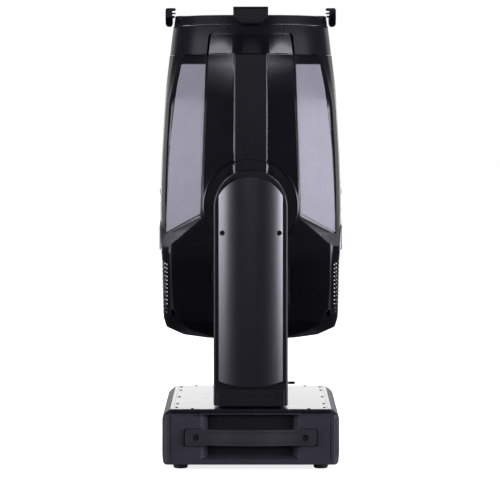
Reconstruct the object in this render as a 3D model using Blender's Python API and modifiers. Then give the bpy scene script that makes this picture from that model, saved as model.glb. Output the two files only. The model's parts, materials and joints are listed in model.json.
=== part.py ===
"""Moving head light: a base, a yoke that pans on it and a head that tilts in the yoke.

Metres, +Z up. The origin is on the pan axis at the level that the feet stand on, and the tilt
axis runs along Y. The head points straight up at rest.
"""

import math

import bmesh
import bpy
from mathutils import Vector

# Clearance between pieces that touch on the real light
GAP = 0.0003
SMOOTH_ANGLE = math.radians(35)

# Base
BASE_HALF_X = 0.152
BASE_HALF_Y = 0.2265
BASE_BOTTOM = 0.0095
BASE_TOP = 0.1055
LID_THICKNESS = 0.007
LID_HALF_X = 0.139
LID_HALF_Y = 0.229
SHOULDER_Z = 0.092
CHASSIS_HALF_X = 0.138
CHASSIS_HALF_Y = 0.200
CHASSIS_WALL = 0.003
COVER_WALL = 0.0038
PAD_HALF_X = 0.070
PAD_HALF_Y = 0.110
PAD_BOTTOM = 0.0060
POCKET_HALF_X = 0.082
POCKET_LOW = 0.020
POCKET_HIGH = 0.0955
POCKET_DEPTH = 0.0235
FOOT_RADIUS = 0.0125
FOOT_X = 0.121
FOOT_Y = 0.190

# Strap handles
HANDLE_HALF_X = 0.1126
HANDLE_Z = 0.0565
HANDLE_HEIGHT = 0.0275
HANDLE_THICKNESS = 0.005
HANDLE_BOW = 0.010

# Pan drive
HUB_RADIUS = 0.030
HUB_BORE = 0.020
LID_HOLE = 0.042
PAN_BELT_Z = 0.056
PAN_PULLEY_RADIUS = 0.060
PAN_PINION_RADIUS = 0.010
PAN_MOTOR_Y = 0.115
BELT_WIDTH = 0.010
BELT_THICKNESS = 0.0015
BELT_GAP = 0.0008
MOTOR_GAP = 0.003

# Yoke
YOKE_BOTTOM = 0.1085
CROSSBAR_TOP = 0.148
CROSSBAR_HALF_X = 0.058
TILT_Z = 0.451
ARM_HALF_X = 0.064
ARM_INNER_Y = 0.158
ARM_OUTER_Y = 0.2065
ARM_WALL = 0.005
ARM_POCKET_HALF_X = 0.050
ARM_POCKET_LOW = 0.150
ARM_COVER_HALF_X = 0.055
ARM_COVER_TOP = 0.503
ARM_COVER_CORNER = 0.471
ARM_COVER_BOTTOM = 0.142
ARM_COVER_Y = 0.222
ARM_COVER_CURVE = 0.156
TOE_Y = 0.218
TOE_HALF_X = 0.058
LOCK_LENGTH = 0.012
LOCK_RADIUS = 0.0025
LOCK_Y = 0.190
PAN_LOCK_Z = 0.1475
TILT_LOCK_Z = 0.124

# Tilt drive
TILT_BELT_Y = 0.184
TILT_PULLEY_RADIUS = 0.040
TILT_PINION_RADIUS = 0.010
TILT_MOTOR_Z = 0.250
SHAFT_RADIUS = 0.025
SHAFT_BORE = 0.016
BEARING_RADIUS = 0.0377

# Head, as (height, half width, half depth) from the front ring down
HEAD_TOP = 0.7130
HEAD_OUTLINE = (
    (0.7130, 0.1430, 0.1430),
    (0.6500, 0.1502, 0.1440),
    (0.5900, 0.1546, 0.1450),
    (0.5200, 0.1582, 0.1460),
    (0.4400, 0.1602, 0.1460),
    (0.3700, 0.1585, 0.1460),
    (0.3550, 0.1563, 0.1458),
    (0.2500, 0.1540, 0.1430),
    (0.2360, 0.1500, 0.1380),
    (0.2220, 0.1230, 0.1150),
    (0.2150, 0.0850, 0.0800),
)
# One quarter of the section, as parts of the half width and the half depth: faceted above the
# tilt axis, and nearly square below it
UPPER_CORNERS = ((1.0, 0.20), (0.98, 0.42), (0.93, 0.62), (0.54, 0.942), (0.175, 1.0))
LOWER_CORNERS = ((1.0, 0.25), (0.975, 0.80), (0.94, 0.90), (0.885, 0.99), (0.175, 1.0))
# The quarter circle near the ring has its corners at these parts of the half width
ROUND_CORNERS = (1.0, 0.95, 0.85, 0.54, 0.175)
FACETED_BELOW = 0.630
UPPER_LOW = 0.360
LOWER_HIGH = 0.460
SQUARE_PROUD = 0.0006
# The sloping strip where the square part rises out of the faceted part
STRIP_INNER = (0.0855, 0.150, 0.428)
STRIP_OUTER = (0.138, 0.150, 0.383)
STRIP_BACK = (0.148, 0.090, 0.400)
HEAD_WALL = 0.003
COVER_PROUD = 0.004
SHELL_BOTTOM = 0.2593
KEY_TOP = 0.747
KEY_SIDE_X = 0.138
BOSS_RADIUS = 0.084
BOSS_Y = 0.1535
STRIP_HALF_X = 0.028
VENT_ROWS = 13
VENT_PITCH = 0.0069
VENT_LOW = 0.2665
VENT_HALF_HEIGHT = 0.0018
VENT_INNER_X = 0.1450
VENT_HALF_Y = 0.138

# Front ring and lens
RING_TOP = 0.782
RING_BOTTOM = 0.7135
RING_SEAT = 0.760
LENS_RADIUS = 0.1272
LENS_CURVE = 0.570
LENS_APEX = 0.778
CLIP_TOP = 0.796
CLIP_WIDTH = 0.0605
CLIP_OUTER = 0.1504

# Display and keys, on the -X side cover
DISPLAY_Y = 0.045
DISPLAY_Z = 0.060
DISPLAY_HALF = (0.034, 0.020)
BUTTON_Z = 0.060
BUTTON_Y = -0.040
BUTTON_STEP = 0.017
BUTTONS = {
    "up_button": (0, BUTTON_STEP),
    "down_button": (0, -BUTTON_STEP),
    "menu_button": (BUTTON_STEP, 0),
    "enter_button": (-BUTTON_STEP, 0),
}

# Optics, on the head's own axis above the tilt axis
CHASSIS_X = 0.095
CHASSIS_Y = 0.0997
CHASSIS_LOW = 0.300
CHASSIS_HIGH = 0.640
RAIL_X = 0.089
WHEEL_RADIUS = 0.052
WHEEL_HOLE_PITCH = 0.036
WHEEL_HOLE_RADIUS = 0.010
WHEEL_X = 0.036
COLOUR_Z = 0.400
GOBO_Z = 0.425
ZOOM_Z = 0.520
FOCUS_Z = 0.595
CARRIAGE_RADIUS = 0.062
FAN_RADIUS = 0.060
FAN_Z = 0.243


def new_collection(name):
    made = bpy.data.collections.new(name)
    bpy.context.scene.collection.children.link(made)
    return made


def clear_scene():
    for obj in list(bpy.data.objects):
        bpy.data.objects.remove(obj, do_unlink=True)


clear_scene()
PARTS = new_collection("moving_head_light")
CUTTERS = new_collection("cutters")
CUTTERS.hide_render = True


def new_material(name, colour, roughness, metallic=0.0):
    made = bpy.data.materials.new(name)
    made.use_nodes = True
    shader = made.node_tree.nodes["Principled BSDF"]
    shader.inputs["Base Color"].default_value = (*colour, 1.0)
    shader.inputs["Roughness"].default_value = roughness
    shader.inputs["Metallic"].default_value = metallic
    return made


BLACK_PLASTIC = new_material("black_plastic", (0.020, 0.020, 0.024), 0.38)
GLOSS_BLACK = new_material("gloss_black", (0.012, 0.012, 0.015), 0.12)
BLACK_METAL = new_material("black_metal", (0.022, 0.022, 0.026), 0.32, 0.3)
RUBBER = new_material("rubber", (0.015, 0.015, 0.016), 0.75)
GLASS = new_material("glass", (0.70, 0.74, 0.78), 0.04)
STEEL = new_material("steel", (0.55, 0.55, 0.56), 0.30, 1.0)
ALUMINIUM = new_material("aluminium", (0.70, 0.71, 0.72), 0.35, 1.0)
CIRCUIT = new_material("circuit_board", (0.02, 0.12, 0.06), 0.45)
DICHROIC = new_material("dichroic", (0.35, 0.15, 0.50), 0.15, 0.4)
SOCKET_BLUE = new_material("socket_blue", (0.03, 0.10, 0.35), 0.40)


def new_empty(name, location, parent=None):
    made = bpy.data.objects.new(name, None)
    made.location = location
    PARTS.objects.link(made)
    if parent:
        made.parent = parent
        made.matrix_parent_inverse = parent.matrix_world.inverted()
    bpy.context.view_layer.update()
    return made


BASE = new_empty("base_origin", (0, 0, 0))
YOKE = new_empty("pan_axis", (0, 0, 0), BASE)
HEAD = new_empty("tilt_axis", (0, 0, TILT_Z), YOKE)


def place(obj, frame, location=(0, 0, 0), rotation=(0, 0, 0)):
    """Puts an object at a place in the world, and parents it to the frame that carries it."""
    obj.location = location
    obj.rotation_euler = rotation
    obj.parent = frame
    obj.matrix_parent_inverse = frame.matrix_world.inverted()
    return obj


def new_object(name, mesh, material):
    """A part where it has a material, and otherwise a cutter."""
    obj = bpy.data.objects.new(name, mesh)
    if material is None:
        CUTTERS.objects.link(obj)
        obj.hide_render = True
        obj.display_type = "WIRE"
    else:
        PARTS.objects.link(obj)
        mesh.materials.append(material)
    return obj


def smooth(obj):
    obj.data.shade_smooth()
    obj.data.set_sharp_from_angle(angle=SMOOTH_ANGLE)
    return obj


def mesh_of(bm, name):
    bmesh.ops.recalc_face_normals(bm, faces=bm.faces)
    mesh = bpy.data.meshes.new(name)
    bm.to_mesh(mesh)
    bm.free()
    return mesh


def box(name, low, high, material=None, frame=BASE):
    """A block between two corners, with its origin at its centre."""
    low, high = Vector(low), Vector(high)
    bm = bmesh.new()
    bmesh.ops.create_cube(bm, size=1.0)
    bmesh.ops.scale(bm, vec=high - low, verts=bm.verts)
    return place(new_object(name, mesh_of(bm, name), material), frame, (low + high) / 2)


ALONG = {"X": (0, math.radians(90), 0), "Y": (math.radians(-90), 0, 0), "Z": (0, 0, 0)}


def cylinder(name, centre, radius, length, along="Z", material=None, frame=BASE, sides=32):
    bm = bmesh.new()
    bmesh.ops.create_cone(
        bm, cap_ends=True, segments=sides, radius1=radius, radius2=radius, depth=length
    )
    obj = new_object(name, mesh_of(bm, name), material)
    return smooth(place(obj, frame, centre, ALONG[along]))


def turned(name, profile, material, frame, centre=(0, 0, 0), along="Z", steps=32):
    """Turns a closed profile of (radius, height) points, which runs down its outer side."""
    mesh = bpy.data.meshes.new(name)
    points = [(radius, 0, height) for radius, height in profile]
    last = len(points) - 1
    edges = [(n, n + 1) for n in range(last)]
    if profile[0][0] > 0:
        edges.append((last, 0))
    mesh.from_pydata(points, edges, [])
    obj = place(new_object(name, mesh, material), frame, centre, ALONG[along])
    screw = obj.modifiers.new("turn", "SCREW")
    screw.steps = steps
    screw.render_steps = steps
    screw.use_merge_vertices = True
    screw.merge_threshold = 0.00001
    screw.use_smooth_shade = False
    return obj


def arc(centre, radius, start, end, count):
    """Points on an arc, with its angles in degrees."""
    angles = [math.radians(start + (end - start) * n / (count - 1)) for n in range(count)]
    return [(centre[0] + radius * math.cos(a), centre[1] + radius * math.sin(a)) for a in angles]


FACING = {"Z": (0, 0, 0), "Y": (math.radians(90), 0, 0)}


def plate(name, outlines, low, high, along, material=None, frame=BASE):
    """Flat outlines, the later ones holes in the first, given a thickness along Y or Z.

    An outline that faces along Y is a list of (x, z) points, and one along Z of (x, y).
    """
    curve = bpy.data.curves.new(name + "_outline", "CURVE")
    curve.dimensions = "2D"
    curve.fill_mode = "BOTH"
    curve.extrude = (high - low) / 2
    for outline in outlines:
        spline = curve.splines.new("POLY")
        spline.points.add(len(outline) - 1)
        for point, (u, v) in zip(spline.points, outline):
            point.co = (u, v, 0, 1)
        spline.use_cyclic_u = True
    guide = bpy.data.objects.new(name + "_outline", curve)
    bpy.context.scene.collection.objects.link(guide)
    bpy.context.view_layer.update()
    graph = bpy.context.evaluated_depsgraph_get()
    mesh = bpy.data.meshes.new_from_object(guide.evaluated_get(graph))
    bpy.data.objects.remove(guide, do_unlink=True)
    bm = bmesh.new()
    bm.from_mesh(mesh)
    bmesh.ops.remove_doubles(bm, verts=bm.verts, dist=0.00001)
    bmesh.ops.dissolve_limit(
        bm, angle_limit=0.001, verts=bm.verts, edges=bm.edges, delimit={"NORMAL"}
    )
    bpy.data.meshes.remove(mesh)
    middle = (low + high) / 2
    centre = (0, middle, 0) if along == "Y" else (0, 0, middle)
    return place(new_object(name, mesh_of(bm, name), material), frame, centre, FACING[along])


def loft(name, rings, material=None, frame=BASE):
    """Joins rings of as many points, and closes both ends."""
    bm = bmesh.new()
    made = [[bm.verts.new(point) for point in ring] for ring in rings]
    count = len(rings[0])
    for above, below in zip(made, made[1:]):
        for n in range(count):
            m = (n + 1) % count
            bm.faces.new((above[n], above[m], below[m], below[n]))
    bm.faces.new(made[0])
    bm.faces.new(made[-1])
    bmesh.ops.triangulate(bm, faces=[face for face in bm.faces if len(face.verts) == 4])
    obj = new_object(name, mesh_of(bm, name), material)
    place(obj, frame)
    return obj


def combine(obj, operation, *others):
    for other in others:
        step = obj.modifiers.new(operation.lower() + "_" + other.name, "BOOLEAN")
        step.operation = operation
        step.solver = "EXACT"
        step.object = other
    return obj


def cut(obj, *cutters):
    return combine(obj, "DIFFERENCE", *cutters)


def join(obj, *others):
    return combine(obj, "UNION", *others)


def keep(obj, *others):
    return combine(obj, "INTERSECT", *others)


def chamfer(obj, width, segments=1, angle=40):
    bevel = obj.modifiers.new("edges", "BEVEL")
    bevel.width = width
    bevel.segments = segments
    bevel.limit_method = "ANGLE"
    bevel.angle_limit = math.radians(angle)
    return obj


def mirrored(outline):
    """A closed outline from its half at +X, which starts and ends on the middle line or off it."""
    other = [(-x, z) for x, z in reversed(outline) if x > 0]
    return list(outline) + other


def belt(name, first, first_radius, second, second_radius, low, high, along, frame):
    """A flat belt round two pulleys whose centres lie on one line of constant first coordinate."""
    def loop(grow):
        span = second[1] - first[1]
        lean = math.degrees(math.asin((first_radius - second_radius) / span))
        low_end = arc(first, first_radius + grow, 180 - lean, 360 + lean, 21)
        high_end = arc(second, second_radius + grow, lean, 180 - lean, 21)
        return low_end + high_end

    loops = [loop(BELT_GAP + BELT_THICKNESS), loop(BELT_GAP)]
    return plate(name, loops, low, high, along, RUBBER, frame)


def make_pinion(name, centre, radius, along, frame):
    """A motor's pulley, on the end of the motor's shaft."""
    half = BELT_WIDTH / 2
    end = half + MOTOR_GAP - GAP
    profile = ((0, end), (0.003, end), (0.003, half), (radius, half), (radius, -half), (0, -half))
    return smooth(turned(name, profile, STEEL, frame, centre, along, steps=16))


def make_chassis():
    floor = BASE_BOTTOM + CHASSIS_WALL
    obj = box(
        "base_chassis",
        (-CHASSIS_HALF_X, -CHASSIS_HALF_Y, BASE_BOTTOM),
        (CHASSIS_HALF_X, CHASSIS_HALF_Y, BASE_TOP - LID_THICKNESS - GAP),
        BLACK_METAL,
    )
    inner_x = CHASSIS_HALF_X - CHASSIS_WALL
    inner_y = CHASSIS_HALF_Y - CHASSIS_WALL
    hollow = box("chassis_hollow", (-inner_x, -inner_y, floor), (inner_x, inner_y, BASE_TOP))
    tray_x = BASE_HALF_X - COVER_WALL - GAP
    tray = box(
        "chassis_floor",
        (-tray_x, -CHASSIS_HALF_Y, BASE_BOTTOM),
        (tray_x, CHASSIS_HALF_Y, floor),
    )
    cut(obj, hollow)
    pad = box(
        "bracket_pad",
        (-PAD_HALF_X, -PAD_HALF_Y, PAD_BOTTOM),
        (PAD_HALF_X, PAD_HALF_Y, BASE_BOTTOM + 0.001),
    )
    return join(obj, tray, pad)


def make_lid():
    low = BASE_TOP - LID_THICKNESS
    obj = box(
        "base_top_plate",
        (-LID_HALF_X, -LID_HALF_Y, low),
        (LID_HALF_X, LID_HALF_Y, BASE_TOP),
        GLOSS_BLACK,
    )
    chamfer(obj, 0.002)
    return cut(obj, cylinder("lid_hole", (0, 0, BASE_TOP), LID_HOLE, 0.04, sides=40))


def shoulder_outline(inner):
    """Half of the base's cross-section, grown inwards by inner."""
    return [
        (LID_HALF_X + GAP + inner * 0.1, BASE_TOP - 0.0008 - inner),
        (BASE_HALF_X - inner, SHOULDER_Z - inner * 0.4),
        (BASE_HALF_X - inner, BASE_BOTTOM + 0.004),
    ]


def make_end_cover(side, name):
    edge = LID_HALF_X + GAP
    under_lid = BASE_TOP - LID_THICKNESS - GAP
    half = [(edge, under_lid)] + shoulder_outline(0)
    half.append((BASE_HALF_X - 0.004, BASE_BOTTOM))
    low, high = CHASSIS_HALF_Y + GAP, BASE_HALF_Y
    obj = plate(name, [mirrored(half)], *sorted((side * low, side * high)), "Y", BLACK_PLASTIC)
    pocket = box(
        name + "_pocket",
        (-POCKET_HALF_X, side * (high - POCKET_DEPTH), POCKET_LOW),
        (POCKET_HALF_X, side * (high + 0.02), POCKET_HIGH),
    )
    chamfer(pocket, 0.006)
    return cut(obj, pocket)


def make_side_cover(side, name, sockets):
    outer, inner = shoulder_outline(0), shoulder_outline(COVER_WALL)
    outline = [(side * x, z) for x, z in outer + inner[::-1]]
    half = CHASSIS_HALF_Y
    obj = plate(name, [outline], -half, half, "Y", BLACK_PLASTIC)
    for n, (y, z, radius) in enumerate(sockets):
        hole = cylinder(f"{name}_hole_{n}", (side * BASE_HALF_X, y, z), radius, 0.03, "X", sides=16)
        cut(obj, hole)
    return obj


def make_handle(side, name):
    """A strap that bows away from the pocket, in plan."""
    def bow(x):
        return HANDLE_BOW * math.cos(math.pi * x / (2 * POCKET_HALF_X)) ** 2

    steps = 20
    arch = [POCKET_HALF_X * (2 * n / steps - 1) for n in range(steps + 1)]
    inner = [(-HANDLE_HALF_X, 0.0)] + [(x, bow(x)) for x in arch] + [(HANDLE_HALF_X, 0.0)]
    inner_y = BASE_HALF_Y + GAP
    outline = [(x, side * (inner_y + y)) for x, y in inner]
    outline += [(x, side * (inner_y + HANDLE_THICKNESS + y)) for x, y in reversed(inner)]
    low = HANDLE_Z - HANDLE_HEIGHT / 2
    return plate(name, [outline], low, low + HANDLE_HEIGHT, "Z", RUBBER)


def make_foot(name, x, y):
    top = BASE_BOTTOM - GAP
    profile = ((0, top), (FOOT_RADIUS, top), (FOOT_RADIUS, 0.002), (FOOT_RADIUS - 0.002, 0), (0, 0))
    return smooth(turned(name, profile, RUBBER, BASE, (x, y, 0), steps=16))


def make_socket(name, y, z, radius, mouth, depth, material):
    """A panel socket in the +X side cover, open outwards."""
    back = CHASSIS_HALF_X + 0.002
    length = BASE_HALF_X - 0.0005 - back
    profile = (
        (0, length - depth),
        (mouth, length - depth),
        (mouth, length),
        (radius, length),
        (radius, 0),
        (0, 0),
    )
    return turned(name, profile, material, BASE, (back, y, z), "X", steps=16)


def make_button(name, y, z):
    """A key on the -X side cover, which travels inwards along X."""
    key = cylinder(name, (-BASE_HALF_X + 0.002, y, z), 0.0055, 0.008, "X", RUBBER, sides=12)
    return chamfer(key, 0.0006)


SOCKET_ROWS = {
    "power_inlet": (-0.060, 0.056, 0.0150, 0.0115, 0.0095, SOCKET_BLUE),
    "data_in": (0.010, 0.056, 0.0120, 0.0085, 0.0085, BLACK_METAL),
    "data_out": (0.050, 0.056, 0.0120, 0.0085, 0.0085, BLACK_METAL),
}


def make_base():
    make_chassis()
    make_lid()
    for side, place_name in ((-1, "front"), (1, "back")):
        make_end_cover(side, "end_cover_" + place_name)
        make_handle(side, "handle_" + place_name)
    sockets = [(y, z, r + GAP) for y, z, r, _, _, _ in SOCKET_ROWS.values()]
    make_side_cover(1, "side_cover_connectors", sockets)
    keys = [(BUTTON_Y + y, BUTTON_Z + z, 0.0060) for y, z in BUTTONS.values()]
    display_side = make_side_cover(-1, "side_cover_display", keys)
    wide, tall = DISPLAY_HALF
    front = -BASE_HALF_X
    cut(display_side, box(
        "display_hole",
        (front - 0.01, DISPLAY_Y - wide - GAP, DISPLAY_Z - tall - GAP),
        (front + 0.01, DISPLAY_Y + wide + GAP, DISPLAY_Z + tall + GAP),
    ))
    box(
        "display_window",
        (front + 0.0006, DISPLAY_Y - wide, DISPLAY_Z - tall),
        (front + 0.0050, DISPLAY_Y + wide, DISPLAY_Z + tall),
        GLOSS_BLACK,
    )
    for name, (y, z) in BUTTONS.items():
        make_button(name, BUTTON_Y + y, BUTTON_Z + z)
    for name, row in SOCKET_ROWS.items():
        make_socket(name, *row)
    for x_side, x_name in ((-1, "left"), (1, "right")):
        for y_side, y_name in ((-1, "front"), (1, "back")):
            make_foot(f"foot_{y_name}_{x_name}", x_side * FOOT_X, y_side * FOOT_Y)


def make_base_internals():
    floor = BASE_BOTTOM + CHASSIS_WALL + GAP
    supply = box("power_supply", (-0.100, -0.190, floor), (0.100, -0.075, 0.066), ALUMINIUM)
    chamfer(supply, 0.002)
    board = box("control_board", (-0.100, 0.145, floor), (0.100, 0.193, floor + 0.003), CIRCUIT)
    for n, x in enumerate((-0.070, -0.020, 0.045)):
        low = (x - 0.014, 0.155, floor + 0.001)
        join(board, box(f"board_block_{n}", low, (x + 0.018, 0.183, floor + 0.018)))
    belt_low = PAN_BELT_Z - BELT_WIDTH / 2
    belt_high = PAN_BELT_Z + BELT_WIDTH / 2
    motor = box("pan_motor", (-0.021, PAN_MOTOR_Y - 0.021, belt_high + MOTOR_GAP),
                (0.021, PAN_MOTOR_Y + 0.021, 0.0975), BLACK_METAL)
    chamfer(motor, 0.003)
    make_pinion("pan_pinion", (0, PAN_MOTOR_Y, PAN_BELT_Z), PAN_PINION_RADIUS, "Z", BASE)
    belt("pan_belt", (0, 0), PAN_PULLEY_RADIUS, (0, PAN_MOTOR_Y), PAN_PINION_RADIUS,
         belt_low, belt_high, "Z", BASE)
    top = BASE_TOP - 0.0005
    bottom = BASE_TOP - 0.0165
    ring = ((LID_HOLE - GAP, top), (LID_HOLE - GAP, bottom), (HUB_RADIUS + GAP, bottom),
            (HUB_RADIUS + GAP, top))
    smooth(turned("pan_bearing", ring, STEEL, BASE, steps=28))


def make_hub():
    """The hollow pan shaft, with its belt pulley."""
    top = YOKE_BOTTOM - GAP
    belt_low = PAN_BELT_Z - BELT_WIDTH / 2
    belt_high = PAN_BELT_Z + BELT_WIDTH / 2
    profile = (
        (LID_HOLE - 0.004, top),
        (LID_HOLE - 0.004, top - 0.002),
        (HUB_RADIUS, top - 0.002),
        (HUB_RADIUS, belt_high),
        (PAN_PULLEY_RADIUS, belt_high),
        (PAN_PULLEY_RADIUS, belt_low),
        (HUB_RADIUS, belt_low),
        (HUB_RADIUS, belt_low - 0.008),
        (HUB_BORE, belt_low - 0.008),
        (HUB_BORE, top),
    )
    return smooth(turned("pan_hub", profile, STEEL, YOKE, steps=28))


def make_crossbar():
    end = ARM_INNER_Y - GAP
    obj = box(
        "yoke_crossbar",
        (-CROSSBAR_HALF_X, -end, YOKE_BOTTOM),
        (CROSSBAR_HALF_X, end, CROSSBAR_TOP),
        BLACK_METAL,
        YOKE,
    )
    chamfer(obj, 0.004, 2, 60)
    return cut(obj, cylinder("crossbar_hole", (0, 0, YOKE_BOTTOM), HUB_BORE, 0.12, frame=YOKE))


def arm_outline(shrink=0.0, bottom=YOKE_BOTTOM):
    half = ARM_HALF_X - shrink
    return [(half, bottom)] + arc((0, TILT_Z), half, 0, 180, 25) + [(-half, bottom)]


def make_arm(side, name):
    """One hollow arm, open on its outer side, where its cover goes."""
    low, high = sorted((side * ARM_INNER_Y, side * ARM_OUTER_Y))
    obj = plate(name, [arm_outline()], low, high, "Y", BLACK_METAL, YOKE)
    pocket_low, pocket_high = sorted((side * (ARM_INNER_Y + ARM_WALL), side * (ARM_OUTER_Y + 0.02)))
    pocket = plate(
        name + "_pocket",
        [arm_outline(ARM_HALF_X - ARM_POCKET_HALF_X, ARM_POCKET_LOW)],
        pocket_low, pocket_high, "Y", None, YOKE,
    )
    hole = cylinder(name + "_shaft_hole", (0, side * ARM_INNER_Y, TILT_Z), BEARING_RADIUS + GAP,
                    0.04, "Y", frame=YOKE)
    chamfer(obj, 0.003, 2, 60)
    cut(obj, pocket, hole)
    toe_low, toe_high = sorted((side * (ARM_OUTER_Y - 0.002), side * TOE_Y))
    toe = box(name + "_toe", (-TOE_HALF_X, toe_low, YOKE_BOTTOM + 0.0005),
              (TOE_HALF_X, toe_high, ARM_COVER_BOTTOM - 0.003), frame=YOKE)
    chamfer(toe, 0.002)
    return join(obj, toe)


def make_arm_cover(side, name):
    """A plate with round ends, bowed about an upright axis."""
    half = ARM_COVER_HALF_X
    rise = ARM_COVER_TOP - ARM_COVER_CORNER
    radius = (half * half + rise * rise) / (2 * rise)
    spread = math.degrees(math.asin(half / radius))
    top = arc((0, ARM_COVER_TOP - radius), radius, 90 - spread, 90 + spread, 15)
    ends = ARM_COVER_BOTTOM + 0.010
    outline = [(half, ends), (half * 0.5, ARM_COVER_BOTTOM + 0.0025), (0, ARM_COVER_BOTTOM)]
    outline += [(-half * 0.5, ARM_COVER_BOTTOM + 0.0025), (-half, ends)]
    low, high = sorted((side * (ARM_OUTER_Y + GAP), side * ARM_COVER_Y))
    obj = plate(name, [top + outline[::-1]], low, high, "Y", BLACK_METAL, YOKE)
    middle = side * (ARM_COVER_Y - ARM_COVER_CURVE)
    bow = cylinder(name + "_bow", (0, middle, 0.32), ARM_COVER_CURVE, 0.5, frame=YOKE, sides=96)
    return keep(obj, bow)


def make_tilt_drive():
    belt_low = TILT_BELT_Y - BELT_WIDTH / 2
    motor_back = ARM_INNER_Y + ARM_WALL + GAP
    motor = box("tilt_motor", (-0.021, -(belt_low - MOTOR_GAP), TILT_MOTOR_Z - 0.021),
                (0.021, -motor_back, TILT_MOTOR_Z + 0.021), BLACK_METAL, YOKE)
    chamfer(motor, 0.003)
    make_pinion("tilt_pinion", (0, -TILT_BELT_Y, TILT_MOTOR_Z), TILT_PINION_RADIUS, "Y", YOKE)
    belt("tilt_belt", (0, TILT_MOTOR_Z), TILT_PINION_RADIUS, (0, TILT_Z), TILT_PULLEY_RADIUS,
         -TILT_BELT_Y - BELT_WIDTH / 2, -TILT_BELT_Y + BELT_WIDTH / 2, "Y", YOKE)
    for side, where in ((-1, "front"), (1, "back")):
        ring = [(BEARING_RADIUS, 0.0035), (BEARING_RADIUS, -0.0035)]
        ring += [(SHAFT_RADIUS + GAP, -0.0035), (SHAFT_RADIUS + GAP, 0.0035)]
        centre = (0, side * (ARM_INNER_Y + 0.003), TILT_Z)
        smooth(turned("tilt_bearing_" + where, ring, STEEL, YOKE, centre, "Y", 24))


def make_locks():
    """Sliding pins for transport: one on the front arm's flank, one on the back arm's toe."""
    off_face = LOCK_LENGTH / 2 + GAP
    pan_centre = (ARM_HALF_X + off_face, -LOCK_Y, PAN_LOCK_Z)
    tilt_centre = (0, TOE_Y + off_face, TILT_LOCK_Z)
    for name, centre, along in (("pan_lock", pan_centre, "X"), ("tilt_lock", tilt_centre, "Y")):
        pin = cylinder(name, centre, LOCK_RADIUS, LOCK_LENGTH, along, BLACK_PLASTIC, YOKE, 12)
        chamfer(pin, 0.0006)


def outline_at(height):
    """The head's half width and half depth at a height."""
    above = HEAD_OUTLINE[0]
    for below in HEAD_OUTLINE[1:]:
        if height >= below[0]:
            part = (height - below[0]) / (above[0] - below[0])
            return tuple(low + (high - low) * part for low, high in zip(below[1:], above[1:]))
        above = below
    return HEAD_OUTLINE[-1][1:]


def mixed(first, second, part):
    return [tuple(p + (q - p) * part for p, q in zip(*pair)) for pair in zip(first, second)]


def corners_at(height, square):
    """The section's corners: a circle at the front ring, and facets or a square further down."""
    if square:
        ease = max(0.0, (SHELL_BOTTOM - height) / (SHELL_BOTTOM - HEAD_OUTLINE[-1][0]))
        return mixed(LOWER_CORNERS, UPPER_CORNERS, ease)
    part = min(1.0, max(0.0, (HEAD_TOP - height) / (HEAD_TOP - FACETED_BELOW)))
    on_circle = [(u, math.sqrt(max(0.02, 1 - u * u))) for u in ROUND_CORNERS]
    return mixed(on_circle, UPPER_CORNERS, part)


def head_ring(height, grow, square):
    """One section of the head, grown by some amount."""
    half_x, half_y = (half + grow for half in outline_at(min(height, HEAD_TOP)))
    quarter = [(u * half_x, v * half_y) for u, v in corners_at(height, square)]
    points = []
    for x_side, y_side in ((1, 1), (-1, 1), (-1, -1), (1, -1)):
        part = [(x_side * x, y_side * y, height) for x, y in quarter]
        points += part if x_side == y_side else part[::-1]
    return points


def head_solid(name, grow, high, low, square=False, material=None):
    """The head's outer form, grown by some amount, between two heights."""
    levels = [high] + [z for z, _, _ in HEAD_OUTLINE if low < z < high] + [low]
    return loft(name, [head_ring(z, grow, square) for z in levels], material, HEAD)


def beyond_plane(name, points, inwards):
    """A block on the outer side of the plane through three points, moved inwards by some amount."""
    first, second, third = (Vector(point) for point in points)
    normal = (second - first).cross(third - first).normalized()
    if normal.z < 0:
        normal.negate()
    side = 0.6
    bm = bmesh.new()
    bmesh.ops.create_cube(bm, size=side)
    obj = new_object(name, mesh_of(bm, name), None)
    place(obj, HEAD, first + normal * (side / 2 - inwards))
    obj.rotation_euler = normal.to_track_quat("Z", "Y").to_euler()
    return obj


def square_part(name, grow, low):
    """The square lower part, cut back by the four sloping strips."""
    obj = head_solid(name, grow + SQUARE_PROUD, LOWER_HIGH, low, square=True)
    for x_side in (-1, 1):
        for y_side in (-1, 1):
            corners = [(x_side * x, y_side * y, z) for x, y, z in
                       (STRIP_INNER, STRIP_OUTER, STRIP_BACK)]
            cut(obj, beyond_plane(f"{name}_strip_{x_side}_{y_side}", corners, max(0.0, -grow)))
    return obj


def head_body(name, grow, high, low, material=None):
    """The faceted part above and the square part below, in one."""
    obj = head_solid(name, grow, high, UPPER_LOW, False, material)
    return join(obj, square_part(name + "_square", grow, low))


def key_outline(grow, bottom=None):
    """The cover over the yoke side of the head: narrow above, wide round the arm."""
    half = [
        (KEY_SIDE_X + grow, 0.2706 - grow),
        (KEY_SIDE_X + grow, 0.383 + grow),
        (0.0855 + grow, 0.428 + grow),
        (0.083 + grow, 0.478),
        (0.078 + grow, 0.617),
        (0.0735 + grow, 0.7126),
        (0.0695 + grow, KEY_TOP + grow),
    ]
    foot = (0.071, 0.2602 - grow)
    if bottom is not None:
        half[0] = (KEY_SIDE_X + grow, bottom)
        return mirrored(half)
    return mirrored([foot] + half)


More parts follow.
